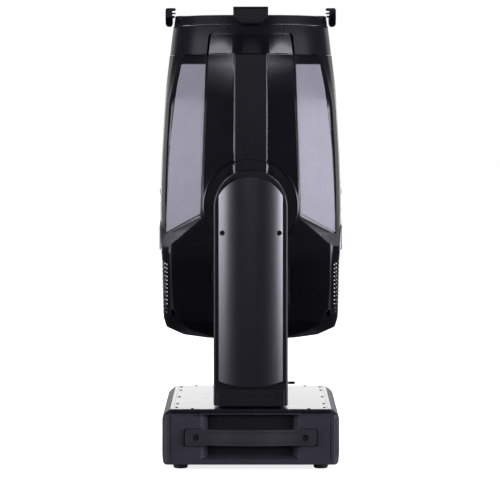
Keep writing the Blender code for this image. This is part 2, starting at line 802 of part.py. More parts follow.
def make_front():
    """The front ring, tapered outside and stepped inside for the lens, and its brackets."""
    seat = LENS_RADIUS - 0.006
    profile = (
        (0.1335, RING_TOP),
        (0.1367, 0.7617),
        (0.1428, RING_BOTTOM),
        (0.1340, RING_BOTTOM),
        (seat, RING_SEAT - 0.012),
        (seat, RING_SEAT),
        (LENS_RADIUS + GAP, RING_SEAT),
        (LENS_RADIUS + GAP, RING_TOP),
    )
    smooth(turned("front_ring", profile, GLOSS_BLACK, HEAD, steps=48))
    spread = math.degrees(math.asin(LENS_RADIUS / LENS_CURVE))
    crown = arc((0, LENS_APEX - LENS_CURVE), LENS_CURVE, 90, 90 - spread, 5)
    rim = RING_SEAT + GAP
    lens = [(0, LENS_APEX)] + crown[1:-1] + [(LENS_RADIUS - GAP, crown[-1][1])]
    lens += [(LENS_RADIUS - GAP, rim), (0, rim)]
    smooth(turned("front_lens", lens, GLASS, HEAD, steps=40))
    for name, turn in (("front", -90), ("back", 90), ("right", 0), ("left", 180)):
        make_clip("accessory_clip_" + name, turn)


def make_clip(name, turn):
    """A slotted bracket that holds an accessory over the lens."""
    outer, slot, tip = CLIP_OUTER, 0.139, 0.1327
    section = [
        (outer - 0.0025, CLIP_TOP),
        (tip, CLIP_TOP),
        (tip, 0.791),
        (slot, 0.791),
        (slot, 0.788),
        (tip, 0.788),
        (tip, 0.7855),
        (slot, 0.7855),
        (slot, RING_TOP + 0.0006),
        (0.1345, RING_TOP + 0.0006),
        (0.1345, 0.7795),
        (0.1380, 0.7785),
        (0.1380, 0.768),
        (0.1405, 0.763),
        (outer - 0.0034, 0.763),
        (outer, 0.767),
        (outer, CLIP_TOP - 0.003),
    ]
    obj = plate(name, [section], -CLIP_WIDTH / 2, CLIP_WIDTH / 2, "Y", BLACK_PLASTIC, HEAD)
    obj.rotation_euler.z = math.radians(turn)
    return obj


def make_shells():
    """The two side shells, with vent rows, between the ring and the rear cap."""
    for side, name in ((-1, "left"), (1, "right")):
        obj = head_body("head_shell_" + name, 0, HEAD_TOP - GAP, SHELL_BOTTOM, BLACK_PLASTIC)
        inner = head_body(f"shell_{name}_hollow", -HEAD_WALL, HEAD_TOP + 0.02, SHELL_BOTTOM - 0.02)
        low, high = sorted((side * -0.01, side * 0.2))
        half = box(f"shell_{name}_half", (low, -0.2, 0.2), (high, 0.2, 0.8), frame=HEAD)
        window = plate(f"shell_{name}_key", [key_outline(GAP, 0.2)], -0.2, 0.2, "Y", frame=HEAD)
        cut(obj, inner)
        keep(obj, half)
        cut(obj, window)
        low, high = sorted((side * 0.1555, side * 0.1616))
        latch = box(f"shell_{name}_latch", (low, -0.022, 0.369), (high, 0.022, 0.413), frame=HEAD)
        join(obj, chamfer(latch, 0.0015))
        low, high = sorted((side * VENT_INNER_X, side * 0.18))
        for row in range(VENT_ROWS):
            z = VENT_LOW + row * VENT_PITCH
            for end in (-1, 1):
                near, far = sorted((end * 0.006, end * VENT_HALF_Y))
                cut(obj, box(f"vent_{name}_{row}_{end}", (low, near, z - VENT_HALF_HEIGHT),
                             (high, far, z + VENT_HALF_HEIGHT), frame=HEAD))


def make_key_cover(side, name):
    """The faceted cover on one yoke side, with a raised strip and a boss round the tilt axis."""
    top = KEY_TOP + 0.01
    obj = head_solid(name, COVER_PROUD, top, UPPER_LOW, False, BLACK_PLASTIC)
    square = head_solid(name + "_square", COVER_PROUD + SQUARE_PROUD, LOWER_HIGH, 0.255, True)
    low, high = sorted((side * 0.075, side * 0.2))
    window = plate(name + "_key", [key_outline(0)], low, high, "Y", frame=HEAD)
    low, high = sorted((side * 0.135, side * (BOSS_Y - 0.0015)))
    strip = box(name + "_strip", (-STRIP_HALF_X, low, TILT_Z), (STRIP_HALF_X, high, 0.7147),
                frame=HEAD)
    chamfer(strip, 0.0015)
    boss = cylinder(name + "_boss", (0, side * (BOSS_Y - 0.010), TILT_Z), BOSS_RADIUS, 0.020, "Y",
                    frame=HEAD, sides=48)
    hollow = head_body(name + "_hollow", -HEAD_WALL, HEAD_TOP + 0.0004, 0.22)
    ring = turned(name + "_ring", (
        (0.1335 + GAP, RING_TOP),
        (0.1367 + GAP, 0.7617),
        (0.1428 + GAP, HEAD_TOP),
        (0.0700, HEAD_TOP),
        (0.0700, RING_TOP),
    ), None, HEAD, steps=48)
    shaft = cylinder(name + "_shaft", (0, side * 0.145, TILT_Z), SHAFT_RADIUS + 0.003, 0.08, "Y",
                     frame=HEAD)
    join(obj, square)
    keep(obj, window)
    join(obj, strip, boss)
    cut(obj, hollow, ring, shaft)
    for x in (-0.0695, 0.0695):
        slot = box(f"{name}_slot_{x}", (x - 0.003, side * 0.145 - 0.02, 0.272),
                   (x + 0.003, side * 0.145 + 0.02, 0.345), frame=HEAD)
        cut(obj, slot)
    return obj


def make_rear_cap():
    high = 0.285
    obj = head_solid("rear_cap", 0, high, HEAD_OUTLINE[-1][0], True, BLACK_PLASTIC)
    edge = SHELL_BOTTOM - GAP
    half = [(0.2, 0.2), (0.2, edge), (KEY_SIDE_X, edge), (KEY_SIDE_X - 0.0004, 0.2700), (0.071, 0.2597)]
    region = plate("cap_region", [mirrored(half)], -0.2, 0.2, "Y", frame=HEAD)
    floor = HEAD_OUTLINE[-1][0] + HEAD_WALL
    hollow = head_solid("cap_hollow", -HEAD_WALL, high + 0.01, floor, True)
    return cut(keep(obj, region), hollow)


def make_head_chassis():
    low, high = (-CHASSIS_X, -CHASSIS_Y, CHASSIS_LOW), (CHASSIS_X, CHASSIS_Y, CHASSIS_HIGH)
    obj = box("head_chassis", low, high, BLACK_METAL, HEAD)
    wall = HEAD_WALL
    tunnel = box(
        "head_chassis_tunnel",
        (-CHASSIS_X + wall, -CHASSIS_Y + wall, CHASSIS_LOW - 0.01),
        (CHASSIS_X - wall, CHASSIS_Y - wall, CHASSIS_HIGH + 0.01),
        frame=HEAD,
    )
    cut(obj, tunnel)
    for side in (-1, 1):
        near, far = sorted((side * (RAIL_X - 0.003), side * (CHASSIS_X - 0.001)))
        join(obj, box(f"rail_{side}", (near, -0.004, 0.450), (far, 0.004, 0.636), frame=HEAD))
    return obj


def make_tilt_shaft(side, name, pulley_radius):
    """A hollow stub shaft with a flange in the head; the driven one ends in the belt's pulley."""
    flange = CHASSIS_Y + GAP
    end = TILT_BELT_Y + BELT_WIDTH / 2
    start = TILT_BELT_Y - BELT_WIDTH / 2
    if pulley_radius:
        profile = [(pulley_radius, end), (pulley_radius, start), (SHAFT_RADIUS, start)]
    else:
        end = start
        profile = [(SHAFT_RADIUS, end)]
    profile += [
        (SHAFT_RADIUS, flange + 0.006),
        (SHAFT_RADIUS + 0.017, flange + 0.006),
        (SHAFT_RADIUS + 0.017, flange),
        (SHAFT_BORE, flange),
        (SHAFT_BORE, end),
    ]
    obj = smooth(turned(name, profile, STEEL, HEAD, (0, 0, TILT_Z), "Y", steps=24))
    if side < 0:
        obj.rotation_euler.x = -obj.rotation_euler.x
    return obj


def make_wheel(name, x, z, holes, material):
    disc = cylinder(name, (x, 0, z), WHEEL_RADIUS, 0.002, material=material, frame=HEAD, sides=24)
    for n in range(holes):
        angle = 2 * math.pi * n / holes + (math.pi if x > 0 else 0)
        at = (x + WHEEL_HOLE_PITCH * math.cos(angle), WHEEL_HOLE_PITCH * math.sin(angle), z)
        cut(disc, cylinder(f"{name}_hole_{n}", at, WHEEL_HOLE_RADIUS, 0.02, frame=HEAD, sides=8))
    return disc


def make_carriage(name, z):
    """A lens in its carrier, with a shoe that runs on each rail."""
    profile = (
        (0, z + 0.009),
        (0.030, z + 0.0075),
        (CARRIAGE_RADIUS - 0.006, z + 0.004),
        (CARRIAGE_RADIUS, z + 0.006),
        (CARRIAGE_RADIUS, z - 0.006),
        (0, z - 0.006),
    )
    obj = turned(name, profile, GLASS, HEAD, steps=20)
    for side in (-1, 1):
        low, high = sorted((side * (CARRIAGE_RADIUS - 0.004), side * (RAIL_X - 0.0036)))
        shoe = box(f"{name}_shoe_{side}", (low, -0.007, z - 0.005), (high, 0.007, z + 0.005),
                   frame=HEAD)
        join(obj, shoe)
    return obj


def make_heat_sink():
    """A comb of fins on a plate, in one outline."""
    half, low, root, high, fins = 0.080, 0.262, 0.318, 0.326, 11
    pitch = 2 * half / (2 * fins - 1)
    outline = [(-half, high), (half, high)]
    for n in range(fins):
        right = half - 2 * n * pitch
        outline += [(right, root), (right, low), (right - pitch, low), (right - pitch, root)]
    outline = [outline[0], outline[1]] + outline[3:-1]
    return plate("heat_sink", [outline], -0.070, 0.070, "Y", ALUMINIUM, HEAD)


def make_fan():
    """A hub with straight vanes drawn out of every other side of it."""
    bm = bmesh.new()
    sides = 14
    bmesh.ops.create_cone(bm, cap_ends=True, segments=sides, radius1=0.022, radius2=0.022, depth=0.012)
    walls = [face for face in bm.faces if abs(face.normal.z) < 0.5]
    walls.sort(key=lambda face: math.atan2(face.normal.y, face.normal.x))
    for wall in walls[::2]:
        outward = wall.normal.copy()
        grown = bmesh.ops.extrude_discrete_faces(bm, faces=[wall])["faces"]
        bmesh.ops.translate(bm, vec=outward * (FAN_RADIUS - 0.022), verts=grown[0].verts)
    mesh = mesh_of(bm, "head_fan")
    return place(new_object("head_fan", mesh, BLACK_PLASTIC), HEAD, (0, 0, FAN_Z))


def make_optics():
    make_head_chassis()
    make_tilt_shaft(-1, "tilt_shaft_front", TILT_PULLEY_RADIUS)
    make_tilt_shaft(1, "tilt_shaft_back", 0)
    make_heat_sink()
    engine = box("led_engine", (-0.055, -0.055, 0.3263), (0.055, 0.055, 0.380), ALUMINIUM, HEAD)
    chamfer(engine, 0.004)
    make_wheel("colour_wheel", WHEEL_X, COLOUR_Z, 7, DICHROIC)
    make_wheel("gobo_wheel", -WHEEL_X, GOBO_Z, 7, STEEL)
    make_carriage("zoom_carriage", ZOOM_Z)
    make_carriage("focus_carriage", FOCUS_Z)
    make_fan()


make_base()
make_base_internals()
make_hub()
make_crossbar()
for arm_side, arm_place in ((-1, "front"), (1, "back")):
    make_arm(arm_side, "arm_frame_" + arm_place)
    make_arm_cover(arm_side, "arm_cover_" + arm_place)
make_tilt_drive()
make_locks()
make_front()
make_shells()
for head_side, head_place in ((-1, "front"), (1, "back")):
    make_key_cover(head_side, "yoke_side_cover_" + head_place)
make_rear_cap()
make_optics()
bpy.context.view_layer.update()
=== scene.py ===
"""Looks of the moving head light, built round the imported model.

The visible shells of the base, the yoke and the head are made again in finer detail round the
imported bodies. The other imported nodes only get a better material.
"""
import json
import math

import bmesh
import bpy
from mathutils import Matrix, Vector


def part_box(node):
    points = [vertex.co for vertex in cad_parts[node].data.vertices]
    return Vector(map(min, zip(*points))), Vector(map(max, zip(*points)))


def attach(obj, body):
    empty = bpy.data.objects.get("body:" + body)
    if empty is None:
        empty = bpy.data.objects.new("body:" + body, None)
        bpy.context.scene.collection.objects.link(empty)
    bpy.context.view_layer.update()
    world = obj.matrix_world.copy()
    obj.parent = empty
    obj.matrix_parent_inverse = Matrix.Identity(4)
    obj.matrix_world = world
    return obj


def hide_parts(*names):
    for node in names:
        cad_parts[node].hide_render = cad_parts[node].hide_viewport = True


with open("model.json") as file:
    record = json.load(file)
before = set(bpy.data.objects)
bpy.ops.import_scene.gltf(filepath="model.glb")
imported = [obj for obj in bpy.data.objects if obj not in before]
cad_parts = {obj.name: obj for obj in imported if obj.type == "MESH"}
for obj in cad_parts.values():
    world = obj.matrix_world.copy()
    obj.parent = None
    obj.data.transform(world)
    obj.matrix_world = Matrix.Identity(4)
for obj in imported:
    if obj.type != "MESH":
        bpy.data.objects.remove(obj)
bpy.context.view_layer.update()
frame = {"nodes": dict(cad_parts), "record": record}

MM = 0.001
GAP = 0.3 * MM

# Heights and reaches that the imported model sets
TILT_Z = 0.451
RING_LOW, RING_HIGH = (corner.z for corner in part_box("front_ring"))
LENS_LOW, LENS_HIGH = (corner.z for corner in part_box("front_lens"))
SHELL_LOW, SHELL_HIGH = (corner.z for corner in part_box("head_shell_left"))
CAP_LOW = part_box("rear_cap")[0].z
CLIP_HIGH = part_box("accessory_clip_front")[1].z
CLIP_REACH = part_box("accessory_clip_right")[1].x
LID_LOW, LID_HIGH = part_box("base_top_plate")
END_LOW, END_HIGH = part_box("end_cover_front")
SIDE_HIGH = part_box("side_cover_connectors")[1]
ARM_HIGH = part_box("arm_frame_front")[1]
ARM_COVER_LOW, ARM_COVER_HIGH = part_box("arm_cover_front")
YOKE_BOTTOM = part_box("yoke_crossbar")[0].z
HANDLE_LOW, HANDLE_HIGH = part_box("handle_front")


# ---------------------------------------------------------------- mesh tools

def link(name, mesh):
    obj = bpy.data.objects.new(name, mesh)
    bpy.context.scene.collection.objects.link(obj)
    return obj


def mesh_of(bm, name):
    bmesh.ops.recalc_face_normals(bm, faces=bm.faces)
    mesh = bpy.data.meshes.new(name)
    bm.to_mesh(mesh)
    bm.free()
    return mesh


def baked(obj):
    """Replaces an object's mesh by what its modifiers make of it."""
    bpy.context.view_layer.update()
    graph = bpy.context.evaluated_depsgraph_get()
    mesh = bpy.data.meshes.new_from_object(obj.evaluated_get(graph))
    mesh.transform(obj.matrix_world)
    mesh.name = obj.name
    obj.modifiers.clear()
    old, obj.data = obj.data, mesh
    bpy.data.meshes.remove(old)
    obj.matrix_world = Matrix.Identity(4)
    return obj


def boolean(obj, operation, others, keep=False):
    """Applies a Boolean with each of the others, which are then removed unless they are kept."""
    for other in others:
        step = obj.modifiers.new(operation, "BOOLEAN")
        step.operation = operation
        step.solver = "EXACT"
        step.object = other
        baked(obj)
        if not keep:
            bpy.data.objects.remove(other, do_unlink=True)
    return obj


def cut(obj, *others, keep=False):
    return boolean(obj, "DIFFERENCE", others, keep)


def join(obj, *others):
    return boolean(obj, "UNION", others)


def common(obj, *others):
    return boolean(obj, "INTERSECT", others)


def bevelled(obj, width, segments=3, angle=35):
    step = obj.modifiers.new("edges", "BEVEL")
    step.width = width
    step.segments = segments
    step.limit_method = "ANGLE"
    step.angle_limit = math.radians(angle)
    return baked(obj)


def smooth(obj, angle=30):
    obj.data.shade_smooth()
    obj.data.set_sharp_from_angle(angle=math.radians(angle))
    return obj


def tidy(obj, angle=0.5):
    """Joins faces that lie in one plane, and points that coincide."""
    bm = bmesh.new()
    bm.from_mesh(obj.data)
    bmesh.ops.remove_doubles(bm, verts=bm.verts, dist=0.00001)
    bmesh.ops.dissolve_limit(
        bm, angle_limit=math.radians(angle), verts=bm.verts, edges=bm.edges
    )
    bm.to_mesh(obj.data)
    bm.free()
    return obj


def copy_of(obj, name):
    made = link(name, obj.data.copy())
    made.matrix_world = obj.matrix_world
    return made


def mirrored_copy(obj, name, x=1, y=1):
    """A copy mirrored in X or Y, or both, with its faces still outwards."""
    made = copy_of(obj, name)
    made.data.transform(Matrix.Diagonal((x, y, 1, 1)))
    if x * y < 0:
        made.data.flip_normals()
    return made


def turned_copy(obj, name, degrees):
    """A copy turned about the object's upright axis."""
    made = copy_of(obj, name)
    made.data.transform(Matrix.Rotation(math.radians(degrees), 4, "Z"))
    return made


def box(name, low, high):
    low, high = Vector(low), Vector(high)
    bm = bmesh.new()
    bmesh.ops.create_cube(bm, size=1.0)
    bmesh.ops.scale(bm, vec=high - low, verts=bm.verts)
    bmesh.ops.translate(bm, vec=(low + high) / 2, verts=bm.verts)
    return link(name, mesh_of(bm, name))


def boxes(name, corners):
    """Separate blocks in one mesh."""
    bm = bmesh.new()
    for low, high in corners:
        low, high = Vector(low), Vector(high)
        place = Matrix.Translation((low + high) / 2) @ Matrix.Diagonal((*(high - low), 1))
        bmesh.ops.create_cube(bm, size=1.0, matrix=place)
    return link(name, mesh_of(bm, name))


TURN = {
    "X": Matrix.Rotation(math.radians(90), 4, "Y"),
    "Y": Matrix.Rotation(math.radians(-90), 4, "X"),
    "Z": Matrix.Identity(4),
}


def cylinders(name, places, radius, length, along="Z", sides=32):
    """Separate round bars in one mesh, each centred on its place."""
    bm = bmesh.new()
    for place in places:
        bmesh.ops.create_cone(
            bm, cap_ends=True, segments=sides, radius1=radius, radius2=radius, depth=length,
            matrix=Matrix.Translation(place) @ TURN[along],
        )
    return link(name, mesh_of(bm, name))


def turned(name, profile, steps=96, along="Z", centre=(0, 0, 0)):
    """A profile of (radius, height) turned about an axis; closed on itself or on the axis."""
    bm = bmesh.new()
    verts = [bm.verts.new((radius, 0, height)) for radius, height in profile]
    pairs = list(zip(verts, verts[1:]))
    if profile[0][0] > 0:
        pairs.append((verts[-1], verts[0]))
    edges = [bm.edges.new(pair) for pair in pairs]
    bmesh.ops.spin(
        bm, geom=verts + edges, axis=(0, 0, 1), cent=(0, 0, 0), angle=2 * math.pi,
        steps=steps, use_merge=True, use_duplicate=False,
    )
    bmesh.ops.remove_doubles(bm, verts=bm.verts, dist=0.000005)
    bmesh.ops.transform(bm, matrix=Matrix.Translation(centre) @ TURN[along], verts=bm.verts)
    return link(name, mesh_of(bm, name))


def arc(centre, radius, start, end, count):
    angles = [math.radians(start + (end - start) * n / (count - 1)) for n in range(count)]
    return [(centre[0] + radius * math.cos(a), centre[1] + radius * math.sin(a)) for a in angles]


def rounded(points, radius, steps=4, limit=0.42):
    """A closed outline with each corner replaced by a curve of about this radius."""
    made = []
    count = len(points)
    for n in range(count):
        here = Vector(points[n])
        before, after = Vector(points[n - 1]), Vector(points[(n + 1) % count])
        back, forward = before - here, after - here
        start = here + back.normalized() * min(radius, back.length * limit)
        end = here + forward.normalized() * min(radius, forward.length * limit)
        for k in range(steps + 1):
            t = k / steps
            made.append(start * (1 - t) ** 2 + here * 2 * t * (1 - t) + end * t * t)
    return made


def plate(name, outline, low, high, along):
    """An outline of (x, z) points given a thickness along Y, or of (x, y) along Z."""
    def at(u, v, w):
        return (u, w, v) if along == "Y" else (u, v, w)

    bm = bmesh.new()
    ends = [[bm.verts.new(at(p[0], p[1], w)) for p in outline] for w in (low, high)]
    bm.faces.new(ends[0])
    bm.faces.new(ends[1][::-1])
    count = len(outline)
    for n in range(count):
        m = (n + 1) % count
        bm.faces.new((ends[0][m], ends[0][n], ends[1][n], ends[1][m]))
    return link(name, mesh_of(bm, name))


def mirrored(half):
    """A closed outline from its half on +X."""
    return list(half) + [(-x, z) for x, z in reversed(half) if x > 0]


def loft(name, rings):
    """A closed solid through rings that have equally many points."""
    bm = bmesh.new()
    made = [[bm.verts.new(point) for point in ring] for ring in rings]
    count = len(rings[0])
    for above, below in zip(made, made[1:]):
        for n in range(count):
            m = (n + 1) % count
            bm.faces.new((above[n], above[m], below[m], below[n]))
    bm.faces.new(made[0])
    bm.faces.new(made[-1])
    bmesh.ops.triangulate(bm, faces=[face for face in bm.faces if len(face.verts) == 4])
    return link(name, mesh_of(bm, name))


def finished(obj, material, body, *nodes, slot=None, angle=30):
    """Gives a piece its material and the body that carries it, and hides the imported nodes it
    stands for.
    """
    obj.data.materials.clear()
    obj.data.materials.append(material)
    smooth(obj, angle)
    weigh = obj.modifiers.new("weigh", "WEIGHTED_NORMAL")
    weigh.keep_sharp = True
    weigh.weight = 100
    baked(obj)
    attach(obj, body)
    if nodes:
        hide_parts(*nodes)
    return obj


# ---------------------------------------------------------------- materials

def added(tree, kind, **inputs):
    node = tree.nodes.new(kind)
    for key, value in inputs.items():
        node.inputs[key.replace("_", " ")].default_value = value
    return node


def ranged(tree, source, low, high, start=0.35, end=0.65):
    """Maps a noise's usual range onto low and high."""
    node = added(tree, "ShaderNodeMapRange", From_Min=start, From_Max=end, To_Min=low, To_Max=high)
    tree.links.new(source, node.inputs["Value"])
    return node.outputs["Result"]


def surface(
    name, colour, roughness, metallic=0.0, mottle=0.10, grain=0.10, grain_scale=1600.0,
    stretch=(1, 1, 1), wear=0.25, worn=None, rough_spread=0.008, edge=0.0009, specular=0.5,
):
    """A finish with blotches, fine grain, uneven gloss and edges rubbed a little lighter."""
    made = bpy.data.materials.new(name)
    made.use_nodes = True
    tree = made.node_tree
    shader = tree.nodes["Principled BSDF"]
    shader.inputs["Metallic"].default_value = metallic
    shader.inputs["Specular IOR Level"].default_value = specular
    place = tree.nodes.new("ShaderNodeTexCoord")
    scaled = added(tree, "ShaderNodeMapping")
    scaled.inputs["Scale"].default_value = stretch
    tree.links.new(place.outputs["Object"], scaled.inputs["Vector"])
    blotch = added(tree, "ShaderNodeTexNoise", Scale=26.0, Detail=5.0, Roughness=0.62)
    tree.links.new(place.outputs["Object"], blotch.inputs["Vector"])
    fine = added(tree, "ShaderNodeTexNoise", Scale=grain_scale, Detail=2.0)
    tree.links.new(scaled.outputs["Vector"], fine.inputs["Vector"])

    shade = tree.nodes.new("ShaderNodeMix")
    shade.data_type = "RGBA"
    shade.inputs[6].default_value = (*(part * (1 - mottle) for part in colour), 1)
    shade.inputs[7].default_value = (*(min(1, part * (1 + mottle)) for part in colour), 1)
    tree.links.new(ranged(tree, blotch.outputs["Fac"], 0.0, 1.0), shade.inputs[0])

    rounded_edge = added(tree, "ShaderNodeBevel", Radius=edge)
    rounded_edge.samples = 4
    facing = tree.nodes.new("ShaderNodeNewGeometry")
    turn = tree.nodes.new("ShaderNodeVectorMath")
    turn.operation = "DOT_PRODUCT"
    tree.links.new(rounded_edge.outputs["Normal"], turn.inputs[0])
    tree.links.new(facing.outputs["Normal"], turn.inputs[1])
    near_edge = ranged(tree, turn.outputs["Value"], wear, 0.0, 0.78, 0.96)
    patchy = tree.nodes.new("ShaderNodeMath")
    patchy.operation = "MULTIPLY"
    tree.links.new(near_edge, patchy.inputs[0])
    tree.links.new(ranged(tree, blotch.outputs["Fac"], 0.25, 1.0, 0.40, 0.62), patchy.inputs[1])
    rubbed = tree.nodes.new("ShaderNodeMix")
    rubbed.data_type = "RGBA"
    lighter = worn or tuple(min(1, part * 2.2 + 0.05) for part in colour)
    rubbed.inputs[7].default_value = (*lighter, 1)
    tree.links.new(patchy.outputs["Value"], rubbed.inputs[0])
    tree.links.new(shade.outputs[2], rubbed.inputs[6])
    tree.links.new(rubbed.outputs[2], shader.inputs["Base Color"])

    low, high = max(0.02, roughness - rough_spread), min(1, roughness + rough_spread)
    tree.links.new(ranged(tree, blotch.outputs["Fac"], low, high), shader.inputs["Roughness"])
    relief = added(tree, "ShaderNodeBump", Strength=grain, Distance=0.0004)
    tree.links.new(fine.outputs["Fac"], relief.inputs["Height"])
    tree.links.new(rounded_edge.outputs["Normal"], relief.inputs["Normal"])
    tree.links.new(relief.outputs["Normal"], shader.inputs["Normal"])
    return made


def glassy(name, tint, roughness, transmission=1.0):
    made = surface(name, tint, roughness, mottle=0.02, grain=0.01, wear=0.0, rough_spread=0.01)
    shader = made.node_tree.nodes["Principled BSDF"]
    shader.inputs["Transmission Weight"].default_value = transmission
    shader.inputs["IOR"].default_value = 1.49
    return made


SATIN = surface("satin_black_plastic", (0.0032, 0.0030, 0.0050), 0.21, grain=0.03, specular=0.36)
CASING = surface("base_black_plastic", (0.0290, 0.0283, 0.0355), 0.46, grain=0.14, specular=0.18)
PANEL = surface(
    "grey_window_panel", (0.205, 0.202, 0.228), 0.40, mottle=0.05, grain=0.04, specular=0.36
)
GLOSS = surface(
    "gloss_black_lacquer", (0.0070, 0.0066, 0.0095), 0.22, mottle=0.06, grain=0.02,
    rough_spread=0.004,
)
RING_BLACK = surface("ring_black", (0.0065, 0.0062, 0.0088), 0.24, grain=0.02, specular=0.26)
PAINT = surface("black_painted_metal", (0.0050, 0.0048, 0.0088), 0.25, grain=0.012, specular=1.0,
                wear=0.08, rough_spread=0.002)
DEEP = surface("black_coated_metal", (0.0040, 0.0040, 0.0052), 0.40, grain=0.14, wear=0.10,
               specular=0.35)
RUBBER = surface("black_rubber", (0.008, 0.008, 0.009), 0.70, grain=0.35, grain_scale=900.0)
STRAP = surface("handle_rubber", (0.017, 0.0165, 0.021), 0.50, grain=0.20, wear=0.4, specular=0.35)
GLASS = glassy("lens_glass", (0.95, 0.97, 0.98), 0.03)
STEEL = surface(
    "brushed_steel", (0.52, 0.52, 0.54), 0.30, 1.0, grain=0.12, stretch=(1, 1, 0.05), wear=0.2
)
ALUMINIUM = surface(
    "brushed_aluminium", (0.66, 0.67, 0.68), 0.36, 1.0, grain=0.14, stretch=(1, 0.05, 1), wear=0.2
)
BOARD = surface("circuit_board", (0.016, 0.105, 0.048), 0.42, grain=0.3, grain_scale=500.0)
COATED = surface("dichroic_glass", (0.30, 0.13, 0.48), 0.16, 0.45, grain=0.03)
BLUE = surface("socket_blue", (0.028, 0.090, 0.330), 0.40, grain=0.12)
SCREEN = glassy("display_glass", (0.012, 0.014, 0.018), 0.08, 0.0)

# What the carried-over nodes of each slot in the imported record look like
FINISH = {
    "satin_black": SATIN,
    "gloss_black": GLOSS,
    "painted_frame": PAINT,
    "rubber": RUBBER,
    "lens_glass": GLASS,
    "steel": STEEL,
    "bare_aluminium": ALUMINIUM,
    "circuit": BOARD,
    "dichroic": COATED,
    "socket_blue": BLUE,
}


# ---------------------------------------------------------------- head form

# The head's outline from the front ring down, as (height, half width, half depth)
OUTLINE = (
    (0.7130, 0.1430, 0.1430),
    (0.6500, 0.1502, 0.1440),
    (0.5900, 0.1546, 0.1450),
    (0.5200, 0.1582, 0.1460),
    (0.4400, 0.1602, 0.1460),
    (0.3700, 0.1585, 0.1460),
    (0.3550, 0.1563, 0.1458),
    (0.2500, 0.1540, 0.1430),
    (0.2360, 0.1500, 0.1380),
    (0.2220, 0.1230, 0.1150),
    (0.2150, 0.0850, 0.0800),
)
# Below this height the outline runs straight from point to point
STRAIGHT_BELOW = 0.370
# One quarter of the section, as parts of the half width and the half depth: round under the ring,
# faceted lower down, and nearly square below the tilt axis
UPPER_CORNERS = ((1.0, 0.20), (0.98, 0.42), (0.93, 0.62), (0.54, 0.942), (0.175, 1.0))
LOWER_CORNERS = ((1.0, 0.25), (0.975, 0.80), (0.94, 0.90), (0.885, 0.99), (0.175, 1.0))
ROUND_CORNERS = tuple(
    (u, math.sqrt(max(0.02, 1 - u * u))) for u in (1.0, 0.95, 0.85, 0.54, 0.175)
)
FACETED_BELOW = 0.630
UPPER_LOW = 0.360
LOWER_HIGH = 0.460
UPPER_FILLET = 0.006
LOWER_FILLET = 0.005
SQUARE_PROUD = 0.6 * MM
WALL = 3 * MM
COVER_PROUD = 4 * MM
LEVEL_STEP = 0.016
# Three points of the sloping strip where the square part rises out of the faceted part
STRIP_CORNERS = ((0.0855, 0.150, 0.428), (0.138, 0.150, 0.383), (0.148, 0.090, 0.400))
BOSS_RADIUS = 0.084
BOSS_Y = 0.1535
STRIP_HALF_X = 0.028
KEY_SIDE_X = 0.138
KEY_TOP = 0.747
# The dark line across the cover, below its top plate
LINE_LOW, LINE_HIGH, LINE_DEPTH = 0.7145, 0.7157, 0.0016
SLOT_X, SLOT_HALF_X = 0.0695, 0.003


def between(a, b, t):
    return tuple(p + (q - p) * t for p, q in zip(a, b))


def outline_at(height):
    """Half width and half depth: a smooth curve above, straight runs below."""
    height = min(height, OUTLINE[0][0])
    last = len(OUTLINE) - 1
    n = next((n for n in range(last) if height >= OUTLINE[n + 1][0]), last - 1)
    high, low = OUTLINE[n], OUTLINE[n + 1]
    t = (high[0] - height) / (high[0] - low[0])
    if low[0] < STRAIGHT_BELOW:
        return between(high[1:], low[1:], t)
    before, after = OUTLINE[max(0, n - 1)], OUTLINE[n + 2]
    if after[0] < STRAIGHT_BELOW:
        after = low
    run = high[0] - low[0]
    made = []
    for k in (1, 2):
        start = (low[k] - before[k]) / max(1e-6, before[0] - low[0]) * run
        end = (after[k] - high[k]) / max(1e-6, high[0] - after[0]) * run
        made.append(
            high[k] * (2 * t**3 - 3 * t**2 + 1) + start * (t**3 - 2 * t**2 + t)
            + low[k] * (3 * t**2 - 2 * t**3) + end * (t**3 - t**2)
        )
    return made


def corners_at(height, square):
    if square:
        ease = max(0.0, (SHELL_LOW - height) / (SHELL_LOW - OUTLINE[-1][0]))
        pairs = zip(LOWER_CORNERS, UPPER_CORNERS)
    else:
        ease = min(1.0, max(0.0, (OUTLINE[0][0] - height) / (OUTLINE[0][0] - FACETED_BELOW)))
        pairs = zip(ROUND_CORNERS, UPPER_CORNERS)
    return [between(a, b, ease) for a, b in pairs]


def head_ring(height, grow, square):
    half_x, half_y = (half + grow for half in outline_at(height))
    quarter = [(u * half_x, v * half_y) for u, v in corners_at(height, square)]
    points = []
    for x_side, y_side in ((1, 1), (-1, 1), (-1, -1), (1, -1)):
        part = [(x_side * x, y_side * y) for x, y in quarter]
        points += part if x_side == y_side else part[::-1]
    fillet = LOWER_FILLET if square else UPPER_FILLET
    return [(x, y, height) for x, y in rounded(points, fillet, 3)]


def head_form(name, grow, high, low, square=False):
    """The head's outer form, grown by some amount, between two heights."""
    levels = {high, low} | {z for z, _, _ in OUTLINE if low < z < high}
    marks = sorted(levels, reverse=True)
    for top, bottom in zip(marks, marks[1:]):
        count = 1 if top <= STRAIGHT_BELOW else max(1, round((top - bottom) / LEVEL_STEP))
        levels |= {top - (top - bottom) * n / count for n in range(count)}
    return loft(name, [head_ring(z, grow, square) for z in sorted(levels, reverse=True)])


def beyond_plane(name, points, inwards):
    """A block on the outer side of the plane through three points, moved inwards."""
    first, second, third = (Vector(point) for point in points)
    normal = (second - first).cross(third - first).normalized()
    if normal.z < 0:
        normal.negate()
    side = 0.6
    obj = box(name, (-side / 2,) * 3, (side / 2,) * 3)
    turn = normal.to_track_quat("Z", "Y").to_matrix().to_4x4()
    obj.data.transform(Matrix.Translation(first + normal * (side / 2 - inwards)) @ turn)
    return obj


